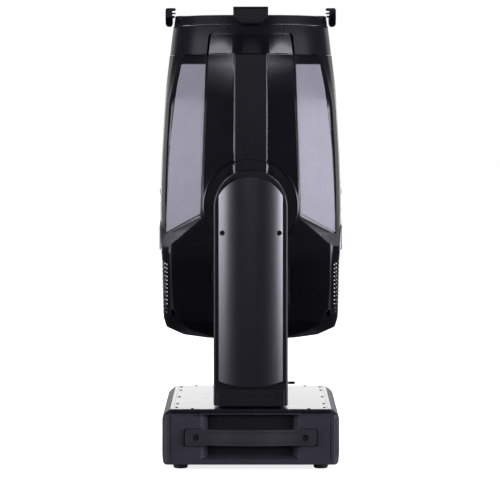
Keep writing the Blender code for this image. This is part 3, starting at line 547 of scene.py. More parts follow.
def square_form(name, grow, low):
    """The square lower part, cut back by four sloping strips."""
    obj = head_form(name, grow + SQUARE_PROUD, LOWER_HIGH, low, True)
    for x_side in (-1, 1):
        for y_side in (-1, 1):
            corners = [(x_side * x, y_side * y, z) for x, y, z in STRIP_CORNERS]
            cut(obj, beyond_plane("strip_tool", corners, max(0.0, -grow)))
    return obj


def head_body(name, grow, high, low):
    return join(head_form(name, grow, high, UPPER_LOW), square_form("square_tool", grow, low))


def key_outline(grow, bottom=None):
    """The cover round the arm, as (x, z): narrow above and wide below."""
    half = [
        (KEY_SIDE_X + grow, 0.2706 - grow),
        (KEY_SIDE_X + grow, 0.383 + grow * 0.6),
        (0.0855 + grow, 0.428 + grow),
        (0.083 + grow, 0.478),
        (0.078 + grow, 0.617),
        (0.0735 + grow, 0.7126),
        (0.0695 + grow, KEY_TOP + grow),
    ]
    if bottom is not None:
        half[0] = (KEY_SIDE_X + grow, bottom)
        return mirrored(half)
    return mirrored([(0.071, 0.2602 - grow)] + half)


# One window, as (x, z)
WINDOW = (
    (0.0783, 0.6965), (0.1211, 0.6965), (0.1290, 0.657), (0.1345, 0.616), (0.1388, 0.580),
    (0.1424, 0.545), (0.1447, 0.508), (0.1460, 0.474), (0.1474, 0.436), (0.1480, 0.403),
    (0.0874, 0.4375), (0.0858, 0.478), (0.0808, 0.617),
)


def window_tool(name, grow, y_side=1):
    """A prism through one window, grown about the window's middle."""
    middle = Vector((sum(x for x, _ in WINDOW), sum(z for _, z in WINDOW))) / len(WINDOW)
    points = []
    for x, z in WINDOW:
        away = (Vector((x, z)) - middle).normalized() * grow
        points.append((x + away.x, z + away.y))
    return plate(name, rounded(points, 0.0015, 2), *sorted((y_side * 0.03, y_side * 0.2)), "Y")


VENT_ROWS, VENT_PITCH, VENT_LOW = 13, 0.0069, 0.2665
VENT_HALF_HEIGHT = 0.0018
PANEL_DEPTH = 1.6 * MM


def make_shell():
    """The shell on +X, with its recesses for the windows, latches and rows of vents."""
    obj = head_body("head_shell_right_skin", 0, SHELL_HIGH, SHELL_LOW)
    common(obj, box("half_tool", (0.01, -0.2, 0.2), (0.2, 0.2, 0.8)))
    cut(obj, head_body("hollow_tool", -WALL, SHELL_HIGH + 0.02, SHELL_LOW - 0.02))
    cut(obj, plate("key_tool", key_outline(GAP, 0.2), -0.2, 0.2, "Y"))
    core = head_form("core_tool", -PANEL_DEPTH, SHELL_HIGH, UPPER_LOW)
    for y_side in (-1, 1):
        recess = window_tool("recess_tool", 0.35 * MM, y_side)
        cut(recess, core, keep=True)
        cut(obj, recess)
    bpy.data.objects.remove(core, do_unlink=True)
    tidy(obj)
    bars = []
    for row in range(VENT_ROWS):
        z = VENT_LOW + row * VENT_PITCH
        for end in (-1, 1):
            near, far = sorted((end * 0.006, end * 0.138))
            low = (0.1450, near, z - VENT_HALF_HEIGHT)
            bars.append((low, (0.18, far, z + VENT_HALF_HEIGHT)))
    cut(obj, boxes("vent_tool", bars))
    latch = bevelled(box("latch", (0.1555, -0.022, 0.369), (0.1616, 0.022, 0.413)), 0.0022)
    finger = bevelled(box("finger", (0.1598, -0.014, 0.383), (0.17, 0.014, 0.389)), 0.001, 2)
    cut(latch, finger)
    join(obj, latch)
    bumps = ((0.472, 0.010, 0.1610), (0.450, 0.005, 0.1608), (0.440, 0.005, 0.1608))
    for z, tall, reach in bumps:
        bump = box("bump", (0.155, -0.010, z - tall / 2), (reach, 0.010, z + tall / 2))
        join(obj, bevelled(bump, 0.0006, 2))
    return obj


def make_window():
    """The grey panel set in the +X +Y window."""
    obj = head_form("window_back_right", 0.1 * MM, SHELL_HIGH, UPPER_LOW)
    common(obj, window_tool("window_edge", 0))
    cut(obj, head_form("window_inner", 0.15 * MM - PANEL_DEPTH, SHELL_HIGH, UPPER_LOW))
    return bevelled(tidy(obj, 0.2), 0.35 * MM, 2, 50)


def make_key_cover():
    """The faceted cover on +Y with its raised strip and the boss round the tilt axis."""
    obj = head_form("yoke_side_cover_back_skin", COVER_PROUD, KEY_TOP + 0.01, UPPER_LOW)
    join(obj, head_form("square_tool", COVER_PROUD + SQUARE_PROUD, LOWER_HIGH, 0.255, True))
    common(obj, plate("edge_tool", rounded(key_outline(0), 0.0035, 3), 0.075, 0.2, "Y"))
    # the plate above the strip follows the ring and leans back with it
    band = ((0.1458, 0.7151), (0.1400, 0.7617), (0.1400, 0.80), (0.2, 0.80), (0.2, 0.7151))
    cut(obj, turned("band_tool", band, 256))
    line = box("line_tool", (-0.2, 0.05, LINE_LOW), (0.2, 0.2, LINE_HIGH))
    cut(obj, cut(line, head_form("core_tool", COVER_PROUD - LINE_DEPTH, KEY_TOP, 0.690)))
    obj = bevelled(tidy(obj), 0.0010, 2, 40)
    face = BOSS_Y - 0.0014
    boss = [(0, face), (BOSS_RADIUS - 0.0036, face), (BOSS_RADIUS - 0.0034, BOSS_Y - 0.0002)]
    boss += [(BOSS_RADIUS - 0.0026, BOSS_Y), (BOSS_RADIUS - 0.0006, BOSS_Y - 0.0012)]
    boss += [(BOSS_RADIUS, BOSS_Y - 0.0030), (BOSS_RADIUS, 0.13), (0, 0.13)]
    join(obj, turned("boss", boss, 160, "Y", (0, 0, TILT_Z)))
    strip = box("strip", (-STRIP_HALF_X, 0.135, TILT_Z), (STRIP_HALF_X, BOSS_Y - 0.0003, 0.7143))
    join(obj, bevelled(strip, 0.0012, 3))
    cut(obj, head_body("hollow_tool", -WALL, OUTLINE[0][0] + 0.0004, 0.22))
    ring = ((0.1338, 0.782), (0.1370, 0.7617), (0.1431, 0.713), (0.07, 0.713), (0.07, 0.80))
    cut(obj, turned("ring_tool", ring, 128))
    cut(obj, cylinders("shaft_tool", [(0, 0.145, TILT_Z)], 0.028, 0.08, "Y"))
    slots = [((x - SLOT_HALF_X, 0.1475, 0.272), (x + SLOT_HALF_X, 0.165, 0.345))
             for x in (-SLOT_X, SLOT_X)]
    return cut(obj, boxes("slot_tool", slots))


def make_rear_cap():
    """The faceted cap under the covers, with rows of slots in its underside."""
    obj = head_form("rear_cap_skin", 0, 0.285, OUTLINE[-1][0], True)
    edge = SHELL_LOW - GAP
    half = [(0.2, 0.2), (0.2, edge), (KEY_SIDE_X, edge), (KEY_SIDE_X - 0.0004, 0.2700)]
    common(obj, plate("region_tool", mirrored(half + [(0.071, 0.2597)]), -0.2, 0.2, "Y"))
    cut(obj, head_form("hollow_tool", -WALL, 0.295, CAP_LOW + WALL, True))
    tidy(obj)
    slots = []
    for n in range(-6, 7):
        x = n * 0.0098
        reach = math.sqrt(max(0, 0.064**2 - x * x))
        for end in (-1, 1):
            near, far = sorted((end * 0.004, end * max(0.012, reach)))
            slots.append(((x - 0.003, near, CAP_LOW - 0.01), (x + 0.003, far, CAP_LOW + 0.01)))
    return bevelled(cut(obj, boxes("grille_tool", slots)), 0.0006, 2, 25)


shell = make_shell()
finished(shell, SATIN, "head", "head_shell_right", slot="satin_black")
left = mirrored_copy(shell, "head_shell_left_skin", x=-1)
finished(left, SATIN, "head", "head_shell_left", slot="satin_black")
window = finished(make_window(), PANEL, "head", slot="satin_black")
for window_name, x_side, y_side in (("back_left", -1, 1), ("front_right", 1, -1),
                                    ("front_left", -1, -1)):
    pane = mirrored_copy(window, "window_" + window_name, x_side, y_side)
    finished(pane, PANEL, "head", slot="satin_black")
cover = finished(make_key_cover(), SATIN, "head", "yoke_side_cover_back", slot="satin_black")
finished(
    mirrored_copy(cover, "yoke_side_cover_front_skin", y=-1), SATIN, "head",
    "yoke_side_cover_front", slot="satin_black",
)
finished(make_rear_cap(), SATIN, "head", "rear_cap", slot="satin_black", angle=25)


# ---------------------------------------------------------------- ring, lens, brackets

JOINT_X = 0.0563


def make_ring():
    """The front ring, with a narrower band at the top and a groove round each cover."""
    seat_low, seat, bore = RING_LOW + 0.0345, 0.760, 0.1278
    profile = [
        (0.1326, RING_HIGH), (0.1333, RING_HIGH - 0.0006), (0.1336, RING_HIGH - 0.0016),
        (0.1352, 0.7680), (0.1356, 0.7668), (0.1352, 0.7660), (0.1352, 0.7650),
        (0.1364, 0.7642), (0.1368, 0.7617), (0.1380, 0.7530), (0.1398, 0.7390),
        (0.1412, 0.7265), (0.1424, 0.7158), (0.1428, 0.7145), (0.1425, RING_LOW),
        (0.1340, RING_LOW), (0.1215, seat_low), (0.1212, seat_low + 0.0008),
        (0.1212, seat), (bore, seat), (bore, RING_HIGH - 0.0010), (0.1284, RING_HIGH),
    ]
    obj = turned("front_ring_skin", profile, 160)
    # the ring's two halves meet at fine upright joints
    joints = [((JOINT_X - GAP, -0.2, RING_LOW - 0.01), (JOINT_X + GAP, -0.1, 0.7640)),
              ((-JOINT_X - GAP, 0.1, RING_LOW - 0.01), (-JOINT_X + GAP, 0.2, 0.7640))]
    skin = turned("skin_tool", [(0.1420, 0.713), (0.1354, 0.765), (0.2, 0.765), (0.2, 0.713)], 160)
    cut(obj, common(boxes("joint_tool", joints), skin))
    for y_side in (-1, 1):
        reach = sorted((y_side * 0.075, y_side * 0.2))
        outline = rounded(key_outline(3.2 * MM), 0.004, 3)
        groove = plate("groove_tool", outline, *reach, "Y")
        depth = [(0.1388, 0.70), (0.1322, 0.765), (0.2, 0.765), (0.2, 0.70)]
        cut(obj, common(groove, turned("depth_tool", depth, 160)))
    return tidy(obj, 0.2)


def make_lens():
    """A shallow dome with a ground edge."""
    radius, curve = LENS_HIGH - 0.570, 0.570
    bore = 0.1272 - GAP
    spread = math.degrees(math.asin((bore - 0.0015) / curve))
    crown = arc((0, radius), curve, 90, 90 - spread, 24)
    outline = [(0, LENS_HIGH)] + crown[1:] + [(bore, crown[-1][1] - 0.0012)]
    return turned("front_lens_glass", outline + [(bore, LENS_LOW), (0, LENS_LOW)], 128)


def make_baffle():
    """Stepped black cone under the lens."""
    steps = 7
    outer, inner = [], []
    for n in range(steps + 1):
        t = n / steps
        radius, z = 0.1195 - 0.040 * t, 0.7465 - 0.088 * t
        inner += [(radius, z), (radius - 0.0040, z - 0.0005)]
        outer += [(radius + 0.0016, z)]
    return turned("lens_baffle", inner + outer[::-1], 96)


def make_clip():
    """The slotted bracket on +X."""
    outer, slot, tip = CLIP_REACH, 0.139, 0.1327
    section = [
        (outer - 0.0025, CLIP_HIGH), (tip + 0.0012, CLIP_HIGH), (tip, CLIP_HIGH - 0.0014),
        (tip, 0.7922), (tip + 0.0010, 0.791), (slot - 0.0008, 0.791), (slot, 0.7903),
        (slot, 0.7887), (slot - 0.0008, 0.788), (tip + 0.0006, 0.788), (tip, 0.7874),
        (tip, 0.7861), (tip + 0.0006, 0.7855), (slot - 0.0010, 0.7855), (slot, 0.7845),
        (slot, 0.7836), (slot - 0.0010, 0.7826), (0.1345, 0.7826), (0.1345, 0.7795),
        (0.1380, 0.7785), (0.1380, 0.768), (0.1392, 0.7646), (0.1405, 0.763),
        (outer - 0.0050, 0.763), (outer - 0.0016, 0.7646), (outer, 0.7678),
        (outer, CLIP_HIGH - 0.0042), (outer - 0.0009, CLIP_HIGH - 0.0013),
    ]
    half = 0.0605 / 2
    obj = plate("accessory_clip_right_skin", section, -half, half, "Y")
    for side in (-1, 1):
        corner = box("corner_tool", (0.12, -0.02, -0.02), (0.17, 0.02, 0.02))
        turn = Matrix.Rotation(math.radians(45 * side), 4, "X")
        corner.data.transform(Matrix.Translation((0, side * (half + 0.0098), 0.7610)) @ turn)
        cut(obj, corner)
    bolts = [(0.1504, y, 0.7785) for y in (-0.018, 0.018)]
    cut(obj, cylinders("bolt_tool", bolts, 0.0026, 0.0022, "X", 24))
    return bevelled(obj, 0.0005, 2, 50)


finished(make_ring(), RING_BLACK, "head", "front_ring", slot="gloss_black")
finished(make_lens(), GLASS, "head", "front_lens", slot="lens_glass")
finished(make_baffle(), DEEP, "head", slot="satin_black")
clip = make_clip()
for clip_name, turns in (("back", 1), ("left", 2), ("front", 3)):
    other = turned_copy(clip, f"accessory_clip_{clip_name}_skin", 90 * turns)
    finished(other, SATIN, "head", "accessory_clip_" + clip_name, slot="satin_black")
finished(clip, SATIN, "head", "accessory_clip_right", slot="satin_black")


# ---------------------------------------------------------------- yoke

ARM_HALF_X = ARM_HIGH.x
ARM_INNER, ARM_OUTER, TOE_Y = 0.158, 0.2065, 0.218
COVER_HALF_X = ARM_COVER_HIGH.x
COVER_TOP, COVER_CORNER, COVER_BOTTOM = ARM_COVER_HIGH.z, 0.471, ARM_COVER_LOW.z
COVER_Y = 0.222
COVER_CURVE = 0.156


def arm_outline(shrink=0.0, bottom=YOKE_BOTTOM):
    half = ARM_HALF_X - shrink
    return [(half, bottom)] + arc((0, TILT_Z), half, 0, 180, 61) + [(-half, bottom)]


def screw(name, places, radius, along, side, deep=0.0012):
    """Socket-head screws, whose heads stand just inside their places' faces."""
    length = 0.004
    out = TURN[along] @ Vector((0, 0, 1))
    heads = [Vector(p) - out * side * (length / 2 + deep * 0.1) for p in places]
    obj = bevelled(cylinders(name, heads, radius, length, along, 32), radius * 0.16, 2, 50)
    keys = [Vector(p) for p in places]
    return cut(obj, cylinders("key_tool", keys, radius * 0.5, 2 * deep, along, 6))


def make_arm():
    """The arm on +Y: a hollow casting, open outwards, with a toe at the bottom."""
    obj = plate("arm_frame_back_skin", arm_outline(), ARM_INNER, ARM_OUTER, "Y")
    obj = bevelled(obj, 0.0035, 4, 60)
    shrink = ARM_HALF_X - 0.050
    cut(obj, plate("pocket_tool", arm_outline(shrink, 0.150), ARM_INNER + 0.005, 0.25, "Y"))
    cut(obj, cylinders("hole_tool", [(0, ARM_INNER, TILT_Z)], 0.038, 0.04, "Y", 64))
    toe = plate("toe", rounded([(-0.058, YOKE_BOTTOM + 0.0005), (0.058, YOKE_BOTTOM + 0.0005),
                                (0.058, 0.1475), (-0.058, 0.1475)], 0.002, 2),
                ARM_OUTER - 0.002, TOE_Y, "Y")
    cut(toe, box("trim_tool", (-0.1, 0.1, COVER_BOTTOM - 0.003), (0.1, 0.3, 0.2)))
    join(obj, bevelled(toe, 0.0009, 3, 40))
    places = [(x, TOE_Y, 0.1215) for x in (-0.0455, 0.0455)]
    cut(obj, cylinders("sink_tool", places, 0.0036, 0.0030, "Y", 32))
    for side in (-1, 1):
        x = side * ARM_HALF_X
        seam = box("seam_tool", (min(x, x - side * 0.0008), 0.1952, YOKE_BOTTOM - 0.01),
                   (max(x, x - side * 0.0008) + 0.0001, 0.1958, TILT_Z))
        cut(obj, seam)
    return tidy(obj, 0.2)


def make_arm_cover():
    """A plate with a round top, bowed about an upright axis, with two holes for sunk screws."""
    half = COVER_HALF_X
    rise = COVER_TOP - COVER_CORNER
    radius = (half * half + rise * rise) / (2 * rise)
    spread = math.degrees(math.asin(half / radius))
    top = arc((0, COVER_TOP - radius), radius, 90 - spread, 90 + spread, 41)
    sag = 0.010
    low_radius = (half * half + sag * sag) / (2 * sag)
    low_spread = math.degrees(math.asin(half / low_radius))
    middle = COVER_BOTTOM + low_radius
    bottom = arc((0, middle), low_radius, 270 - low_spread, 270 + low_spread, 31)
    outline = [Vector(p) for p in top + bottom]
    obj = plate("arm_cover_back_skin", outline, ARM_OUTER + GAP, COVER_Y + 0.01, "Y")
    bow = cylinders("bow_tool", [(0, COVER_Y - COVER_CURVE, 0.32)], COVER_CURVE, 0.5, sides=512)
    common(obj, bow)
    obj = bevelled(tidy(obj, 0.1), 0.0011, 3, 45)
    holes = [(x, 0.2165, 0.4070) for x in (-0.0487, 0.0487)]
    cut(obj, cylinders("hole_tool", holes, 0.0043, 0.02, "Y", 40))
    return obj


arm = make_arm()
finished(arm, DEEP, "yoke", "arm_frame_back", slot="painted_frame")
arm_cover = finished(make_arm_cover(), PAINT, "yoke", "arm_cover_back", slot="painted_frame")
finished(mirrored_copy(arm, "arm_frame_front_skin", y=-1), DEEP, "yoke", "arm_frame_front",
         slot="painted_frame")
finished(mirrored_copy(arm_cover, "arm_cover_front_skin", y=-1), PAINT, "yoke",
         "arm_cover_front", slot="painted_frame")
for where, y_side in (("back", 1), ("front", -1)):
    toe_places = [(x, y_side * (TOE_Y - 0.0012), 0.1215) for x in (-0.0455, 0.0455)]
    finished(screw(f"toe_screws_{where}", toe_places, 0.0032, "Y", y_side), DEEP, "yoke",
             slot="painted_frame")
    cover_places = [(x, y_side * 0.2118, 0.4070) for x in (-0.0487, 0.0487)]
    finished(screw(f"cover_screws_{where}", cover_places, 0.0039, "Y", y_side), DEEP, "yoke",
             slot="painted_frame")


# ---------------------------------------------------------------- base

BASE_HALF_X, BASE_HALF_Y = END_HIGH.x, 0.2265
BASE_BOTTOM = END_LOW.z
LID_HALF_X, LID_HALF_Y = LID_HIGH.x, LID_HIGH.y
CHASSIS_HALF_Y = SIDE_HIGH.y
SEAM_X, SEAM_HALF = 0.1373, 0.0006
CORNER_ANGLE = 32
SCREW_Z = 0.0565
SCREW_X = 0.0940
POCKET_HALF_X, POCKET_LOW, POCKET_HIGH, POCKET_DEPTH = 0.082, 0.020, 0.0955, 0.0235


def flank(inner):
    """The outer line of the base's section on +X, from the lid down, moved inwards."""
    return [
        (LID_HALF_X + GAP + inner * 0.1, LID_HIGH.z - 0.0008 - inner),
        (0.1475 - inner, 0.0978 - inner * 0.8),
        (0.1508 - inner, 0.0940 - inner * 0.4),
        (BASE_HALF_X - inner, 0.0885),
        (BASE_HALF_X - inner, 0.0300),
        (0.1512 - inner, 0.0180),
        (0.1500 - inner, BASE_BOTTOM + 0.0032),
    ]


def make_lid():
    obj = box("base_top_plate_skin", LID_LOW, LID_HIGH)
    cut(obj, cylinders("hole_tool", [(0, 0, LID_HIGH.z)], 0.042, 0.04, sides=96))
    obj = bevelled(obj, 0.0016, 3, 50)
    relief = [((x - 0.0004, -0.3, LID_HIGH.z - 0.0006), (x + 0.0004, 0.3, 0.2))
              for x in (-LID_HALF_X + 0.0065, LID_HALF_X - 0.0065)]
    return cut(obj, boxes("line_tool", relief))


def lid_screw_places():
    rows = (-0.197, -0.130, 0.0, 0.130, 0.197)
    side = [(s * (LID_HALF_X - 0.0115), y) for s in (-1, 1) for y in rows]
    ends = [(s * 0.100, e * (LID_HALF_Y - 0.0085)) for s in (-1, 1) for e in (-1, 1)]
    return [(x, y, LID_HIGH.z + 0.0009) for x, y in side + ends]


def make_end_cover():
    """The cover on the -Y end, with a recessed pocket behind the handle."""
    edge, under = LID_HALF_X + GAP, LID_LOW.z - GAP
    half = [(edge, under)] + flank(0) + [(0.1468, BASE_BOTTOM)]
    obj = plate("end_cover_front_skin", mirrored(half), -BASE_HALF_Y, -CHASSIS_HALF_Y - GAP, "Y")
    # upright corners turned back
    for side in (-1, 1):
        corner = box("corner_tool", (-0.02, -0.02, -0.2), (0.02, 0.02, 0.2))
        lean = Matrix.Rotation(math.radians(CORNER_ANGLE * side), 4, "Z")
        place = Matrix.Translation((side * 0.1570, -BASE_HALF_Y - 0.0150, 0.05))
        corner.data.transform(place @ lean)
        cut(obj, corner)
    front, back = -BASE_HALF_Y - 0.01, -BASE_HALF_Y + POCKET_DEPTH
    wide, narrow = POCKET_HALF_X + 0.0035, POCKET_HALF_X - 0.0085
    grown = 0.01 * (wide - narrow) / POCKET_DEPTH
    rings = []
    for y, half_x, low, high in (
        (front, wide + grown, POCKET_LOW - 0.003, POCKET_HIGH + 0.0020),
        (-BASE_HALF_Y + 0.0025, wide, POCKET_LOW - 0.0010, POCKET_HIGH),
        (-BASE_HALF_Y + 0.0045, wide - 0.0048, POCKET_LOW, POCKET_HIGH - 0.0006),
        (back, narrow, POCKET_LOW + 0.0040, POCKET_HIGH - 0.0025),
    ):
        corners = [(-half_x, low), (half_x, low), (half_x, high), (-half_x, high)]
        rings.append([(x, y, z) for x, z in rounded(corners, 0.0045, 3)])
    cut(obj, loft("pocket_tool", rings))
    # the upper edge falls back towards the pocket, and leaves a dark line under the lid
    for side in (-1, 1):
        top = 0.2
        near, far = side * 0.088, side * 0.150
        outline = [(near, under - 0.0068), (far, under - 0.0030), (far, top), (near, top)]
        cut(obj, plate("fall_tool", outline, -BASE_HALF_Y - 0.01, -BASE_HALF_Y + 0.0042, "Y"))
    obj = bevelled(tidy(obj, 0.2), 0.0011, 3, 30)
    # a shallow bed for each end of the handle
    low, high = HANDLE_LOW.z - 0.0016, HANDLE_HIGH.z + 0.0016
    beds = [((min(s * 0.079, s * 0.1142), -BASE_HALF_Y - 0.01, low),
             (max(s * 0.079, s * 0.1142), -BASE_HALF_Y + 0.0030, high)) for s in (-1, 1)]
    cut(obj, boxes("bed_tool", beds))
    seams = [((s * SEAM_X - SEAM_HALF, -BASE_HALF_Y - 0.01, 0),
              (s * SEAM_X + SEAM_HALF, -BASE_HALF_Y + 0.0016, 0.2)) for s in (-1, 1)]
    cut(obj, boxes("seam_tool", seams))
    holes = []
    for row in range(17):
        z = 0.0235 + row * 0.0040
        for column, (x, y) in enumerate(((0.1448, -0.2225), (0.1488, -0.2200))):
            holes.append((x, y, z + column * 0.0020))
    tool = bmesh.new()
    turn = Matrix.Rotation(math.radians(CORNER_ANGLE), 4, "Z") @ TURN["Y"]
    for hole in holes:
        bmesh.ops.create_cone(tool, cap_ends=True, segments=12, radius1=0.0012, radius2=0.0012,
                              depth=0.006, matrix=Matrix.Translation(hole) @ turn)
    return cut(obj, link("holes_tool", mesh_of(tool, "holes_tool")))


def make_side_cover(name, side, openings):
    outer, inner = flank(0), flank(3.2 * MM)
    inner[-1] = (inner[-1][0], BASE_BOTTOM + 0.0032)
    outline = [(side * x, z) for x, z in outer + inner[::-1]]
    obj = plate(name, outline, -CHASSIS_HALF_Y, CHASSIS_HALF_Y, "Y")
    obj = bevelled(obj, 0.0008, 2, 30)
    for opening in openings:
        cut(obj, opening)
    return obj


def grille_holes(side, low_y, high_y):
    """Rows of round holes through a side cover."""
    places = []
    for row in range(13):
        for column in range(round((high_y - low_y) / 0.0056)):
            y = low_y + 0.0056 * column + (0.0028 if row % 2 else 0)
            places.append((side * BASE_HALF_X, y, 0.028 + row * 0.0046))
    return cylinders("grille_tool", places, 0.0016, 0.012, "X", 10)


def make_handle():
    """The ribbed strap on the -Y end, bowed away from the pocket."""
    low, high = HANDLE_LOW.z, HANDLE_HIGH.z
    middle, half = (low + high) / 2, (high - low) / 2
    reach, base_y, thick, bow_out, end_radius = 0.1126, BASE_HALF_Y + GAP, 0.005, 0.010, 0.003
    steps = 60

    def along(reach):
        """Places along the strap, as (x, how far it bows out there)."""
        for n in range(steps + 1):
            x = reach * (2 * n / steps - 1)
            bowed = abs(x) < POCKET_HALF_X
            yield x, bow_out * math.cos(math.pi * x / (2 * POCKET_HALF_X)) ** 2 if bowed else 0

    section = rounded([(0, low), (0, high), (1, high), (1, low)], 0.0016, 2)
    rings = []
    for x, bow in along(reach):
        end = max(0.0, abs(x) - (reach - end_radius)) / end_radius
        drop = 0.0024 * (1 - math.sqrt(max(0.0, 1 - end * end)))
        squeeze = 1 - drop / half
        rings.append([(x, -(base_y + bow + u * thick), middle + (z - middle) * squeeze)
                      for u, z in section])
    obj = tidy(loft("handle_front_skin", rings), 0.01)
    grooves = []
    for z in (low + 0.0038, high - 0.0038, low + 0.0062, high - 0.0062):
        cuts = []
        for x, bow in along(reach - 0.004):
            y = -(base_y + bow + thick)
            cuts.append([(x, y - 0.004, z - 0.0004), (x, y + 0.0005, z - 0.0003),
                         (x, y + 0.0005, z + 0.0003), (x, y - 0.004, z + 0.0004)])
        grooves.append(loft("groove_tool", cuts))
    cut(obj, *grooves)
    holes = [(x, -base_y - thick, SCREW_Z) for x in (-SCREW_X, SCREW_X)]
    return cut(obj, cylinders("hole_tool", holes, 0.0056, 0.0066, "Y", 48))


def make_foot():
    top, radius = BASE_BOTTOM - GAP, 0.0125
    profile = [(0, top), (radius - 0.0005, top), (radius, top - 0.0005), (radius, 0.0030),
               (radius - 0.0010, 0.0010), (radius - 0.0030, 0), (0.0050, 0), (0.0042, 0.0012),
               (0.0036, 0.0040), (0, 0.0040)]
    return turned("foot_skin", profile, 64)


def make_pocket_shade_sheet():
    """A very dark sheet at the back of the -Y pocket, standing in for the shade there: painted
    shade.
    """
    back = -BASE_HALF_Y + POCKET_DEPTH
    half = POCKET_HALF_X - 0.0092
    outline = rounded([(-half, POCKET_LOW + 0.0046), (half, POCKET_LOW + 0.0046),
                       (half, POCKET_HIGH - 0.0031), (-half, POCKET_HIGH - 0.0031)], 0.0042, 3)
    obj = plate("pocket_shade_sheet_front", outline, back - 0.0011, back - 0.0001, "Y")
    return bevelled(obj, 0.0003, 2, 50)


finished(make_lid(), GLOSS, "base", "base_top_plate", slot="gloss_black")
heads = screw("lid_screws", lid_screw_places(), 0.0026, "Z", 1)
finished(heads, DEEP, "base", slot="painted_frame")
end_cover = finished(make_end_cover(), CASING, "base", "end_cover_front", slot="satin_black")
finished(turned_copy(end_cover, "end_cover_back_skin", 180), CASING, "base", "end_cover_back",
         slot="satin_black")
# a near-black sheet at the back of each handle pocket, as painted shade
pocket_shade_sheet = finished(make_pocket_shade_sheet(), DEEP, "base", slot="satin_black")
finished(turned_copy(pocket_shade_sheet, "pocket_shade_sheet_back", 180), DEEP, "base", slot="satin_black")
handle = finished(make_handle(), STRAP, "base", "handle_front", slot="rubber")
finished(turned_copy(handle, "handle_back_skin", 180), STRAP, "base", "handle_back",
         slot="rubber")
for where, y_side in (("front", -1), ("back", 1)):
    strap_y = y_side * (BASE_HALF_Y + GAP + 0.0032)
    strap_places = [(x, strap_y, SCREW_Z) for x in (-SCREW_X, SCREW_X)]
    finished(screw(f"handle_screws_{where}", strap_places, 0.0051, "Y", y_side), DEEP, "base",
             slot="painted_frame")

# the power inlet and the two data sockets, as (y, radius)
SOCKETS = ((-0.060, 0.0150), (0.010, 0.0120), (0.050, 0.0120))
SOCKET_Z = 0.056
GRILLES = ((-0.190, -0.094), (0.094, 0.190))
openings = [cylinders("socket_tool", [(BASE_HALF_X, y, SOCKET_Z)], radius + GAP, 0.03, "X", 64)
            for y, radius in SOCKETS]
openings += [grille_holes(1, *span) for span in GRILLES]
finished(make_side_cover("side_cover_connectors_skin", 1, openings), CASING, "base",
         "side_cover_connectors", slot="satin_black")
display_low, display_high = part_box("display_window")
keys = [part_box(name) for name in ("up_button", "down_button", "menu_button", "enter_button")]
key_places = [(-BASE_HALF_X, (low.y + high.y) / 2, (low.z + high.z) / 2) for low, high in keys]
openings = [cylinders("key_tool", key_places, 0.0060, 0.03, "X", 48)]
openings.append(box("display_tool", display_low - Vector((0.02, GAP, GAP)),
                    display_high + Vector((0.02, GAP, GAP))))
openings += [grille_holes(-1, *span) for span in GRILLES]
finished(make_side_cover("side_cover_display_skin", -1, openings), CASING, "base",
         "side_cover_display", slot="satin_black")
foot = make_foot()
for x_side, x_name in ((-1, "left"), (1, "right")):
    for y_side, y_name in ((-1, "front"), (1, "back")):
        pad = copy_of(foot, f"foot_{y_name}_{x_name}_skin")
        pad.data.transform(Matrix.Translation((x_side * 0.121, y_side * 0.190, 0)))
        finished(pad, RUBBER, "base", f"foot_{y_name}_{x_name}", slot="rubber")
bpy.data.objects.remove(foot, do_unlink=True)


# ---------------------------------------------------------------- carried-over nodes

for part in frame["record"]["subparts"]:
    node = frame["nodes"][part["node"]]
    finish = FINISH[part["material_slot"]]
    if part["node"] == "display_window":
        finish = SCREEN
    for n in range(max(1, len(node.material_slots))):
        if node.material_slots:
            node.material_slots[n].material = finish
        else:
            node.data.materials.append(finish)


# ---------------------------------------------------------------- stage, light, camera

# The floor's glow near the middle, lower than far off: painted shade round the object's foot
FLOOR_GLOW_UNDER_PAINTED_SHADE = 0.80


def make_floor():
    """A pale floor that glows a little, so that it stays as pale as the space round it; the glow
    is weaker near the middle, a painted shade round the object's foot.
    """
    bm = bmesh.new()
    bmesh.ops.create_grid(bm, x_segments=8, y_segments=8, size=20.0)
    obj = link("floor", mesh_of(bm, "floor"))
    pale = bpy.data.materials.new("pale_floor")
    pale.use_nodes = True
    tree = pale.node_tree
    shader = tree.nodes["Principled BSDF"]
    shader.inputs["Roughness"].default_value = 0.9
    shader.inputs["Specular IOR Level"].default_value = 0.0
    shader.inputs["Base Color"].default_value = (0.55, 0.55, 0.55, 1)
    shader.inputs["Emission Color"].default_value = (1, 1, 1, 1)
    place = tree.nodes.new("ShaderNodeTexCoord")
    reach = tree.nodes.new("ShaderNodeVectorMath")
    reach.operation = "LENGTH"
    tree.links.new(place.outputs["Object"], reach.inputs[0])
    # the glow falls off towards the middle, a painted shade under the object
    glow_with_painted_shade = ranged(tree, reach.outputs["Value"], FLOOR_GLOW_UNDER_PAINTED_SHADE, 1.0, 0.2, 0.9)
    tree.links.new(glow_with_painted_shade, shader.inputs["Emission Strength"])
    obj.data.materials.append(pale)
    obj.visible_diffuse = False
    obj.visible_glossy = False


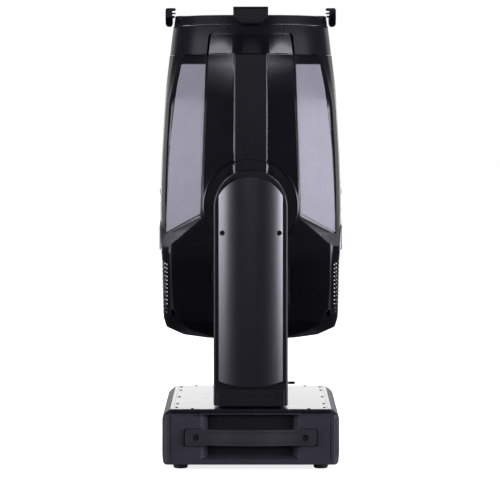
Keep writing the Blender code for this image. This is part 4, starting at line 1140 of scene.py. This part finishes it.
def make_light(name, azimuth, height, distance, wide, tall, power, colour=(1, 1, 1), aim=0.45):
    """A soft box at an azimuth from the -Y side, turning towards +X, aimed at the object."""
    lamp = bpy.data.lights.new(name, "AREA")
    lamp.shape = "RECTANGLE"
    lamp.size, lamp.size_y = wide, tall
    lamp.energy = power
    lamp.color = colour
    obj = bpy.data.objects.new(name, lamp)
    angle = math.radians(azimuth)
    place = Vector((distance * math.sin(angle), -distance * math.cos(angle), height))
    obj.location = place
    obj.rotation_euler = (Vector((0, 0, aim)) - place).to_track_quat("-Z", "Y").to_euler()
    bpy.context.scene.collection.objects.link(obj)
    obj.visible_camera = False
    return obj


def make_world():
    world = bpy.data.worlds.new("studio")
    bpy.context.scene.world = world
    world.use_nodes = True
    tree = world.node_tree
    tree.nodes.clear()
    path = tree.nodes.new("ShaderNodeLightPath")
    seen = added(tree, "ShaderNodeBackground", Color=(1, 1, 1, 1), Strength=1.0)
    around = added(tree, "ShaderNodeBackground", Color=(1, 1, 1, 1), Strength=0.03)
    mix = tree.nodes.new("ShaderNodeMixShader")
    out = tree.nodes.new("ShaderNodeOutputWorld")
    tree.links.new(path.outputs["Is Camera Ray"], mix.inputs[0])
    tree.links.new(around.outputs[0], mix.inputs[1])
    tree.links.new(seen.outputs[0], mix.inputs[2])
    tree.links.new(mix.outputs[0], out.inputs["Surface"])


make_floor()
make_world()
COOL = (0.90, 0.88, 1.0)
make_light("key_left", -60, 0.64, 2.6, 2.95, 0.92, 80, COOL)
make_light("key_right", 61.0, 0.56, 2.6, 2.45, 0.90, 100, COOL)
make_light("fill_front", 0, 1.0, 5.0, 1.6, 1.2, 4.0, COOL)
make_light("backdrop", 180, 0.46, 3.6, 1.9, 0.62, 6.2)
make_light("far_rim", 180, 0.85, 3.7, 5.6, 1.4, 13)
make_light("top", 180, 3.2, 0.8, 2.4, 2.4, 9, aim=0.2)
# high behind, for the sides that the camera does not see
make_light("high_left", -135, 2.4, 2.3, 1.9, 1.0, 70, COOL)
make_light("high_right", 135, 2.4, 2.3, 1.9, 1.0, 70, COOL)

camera = bpy.data.cameras.new("camera")
camera.lens = 243.2
camera.sensor_width = 36.0
camera.shift_x = -0.0014
seen_from = bpy.data.objects.new("camera", camera)
seen_from.location = (0, -6.0, 0.664)
seen_from.rotation_euler = (math.radians(90 - 2.83), 0, 0)
bpy.context.scene.collection.objects.link(seen_from)
bpy.context.scene.camera = seen_from
bpy.context.scene.view_settings.view_transform = "Standard"
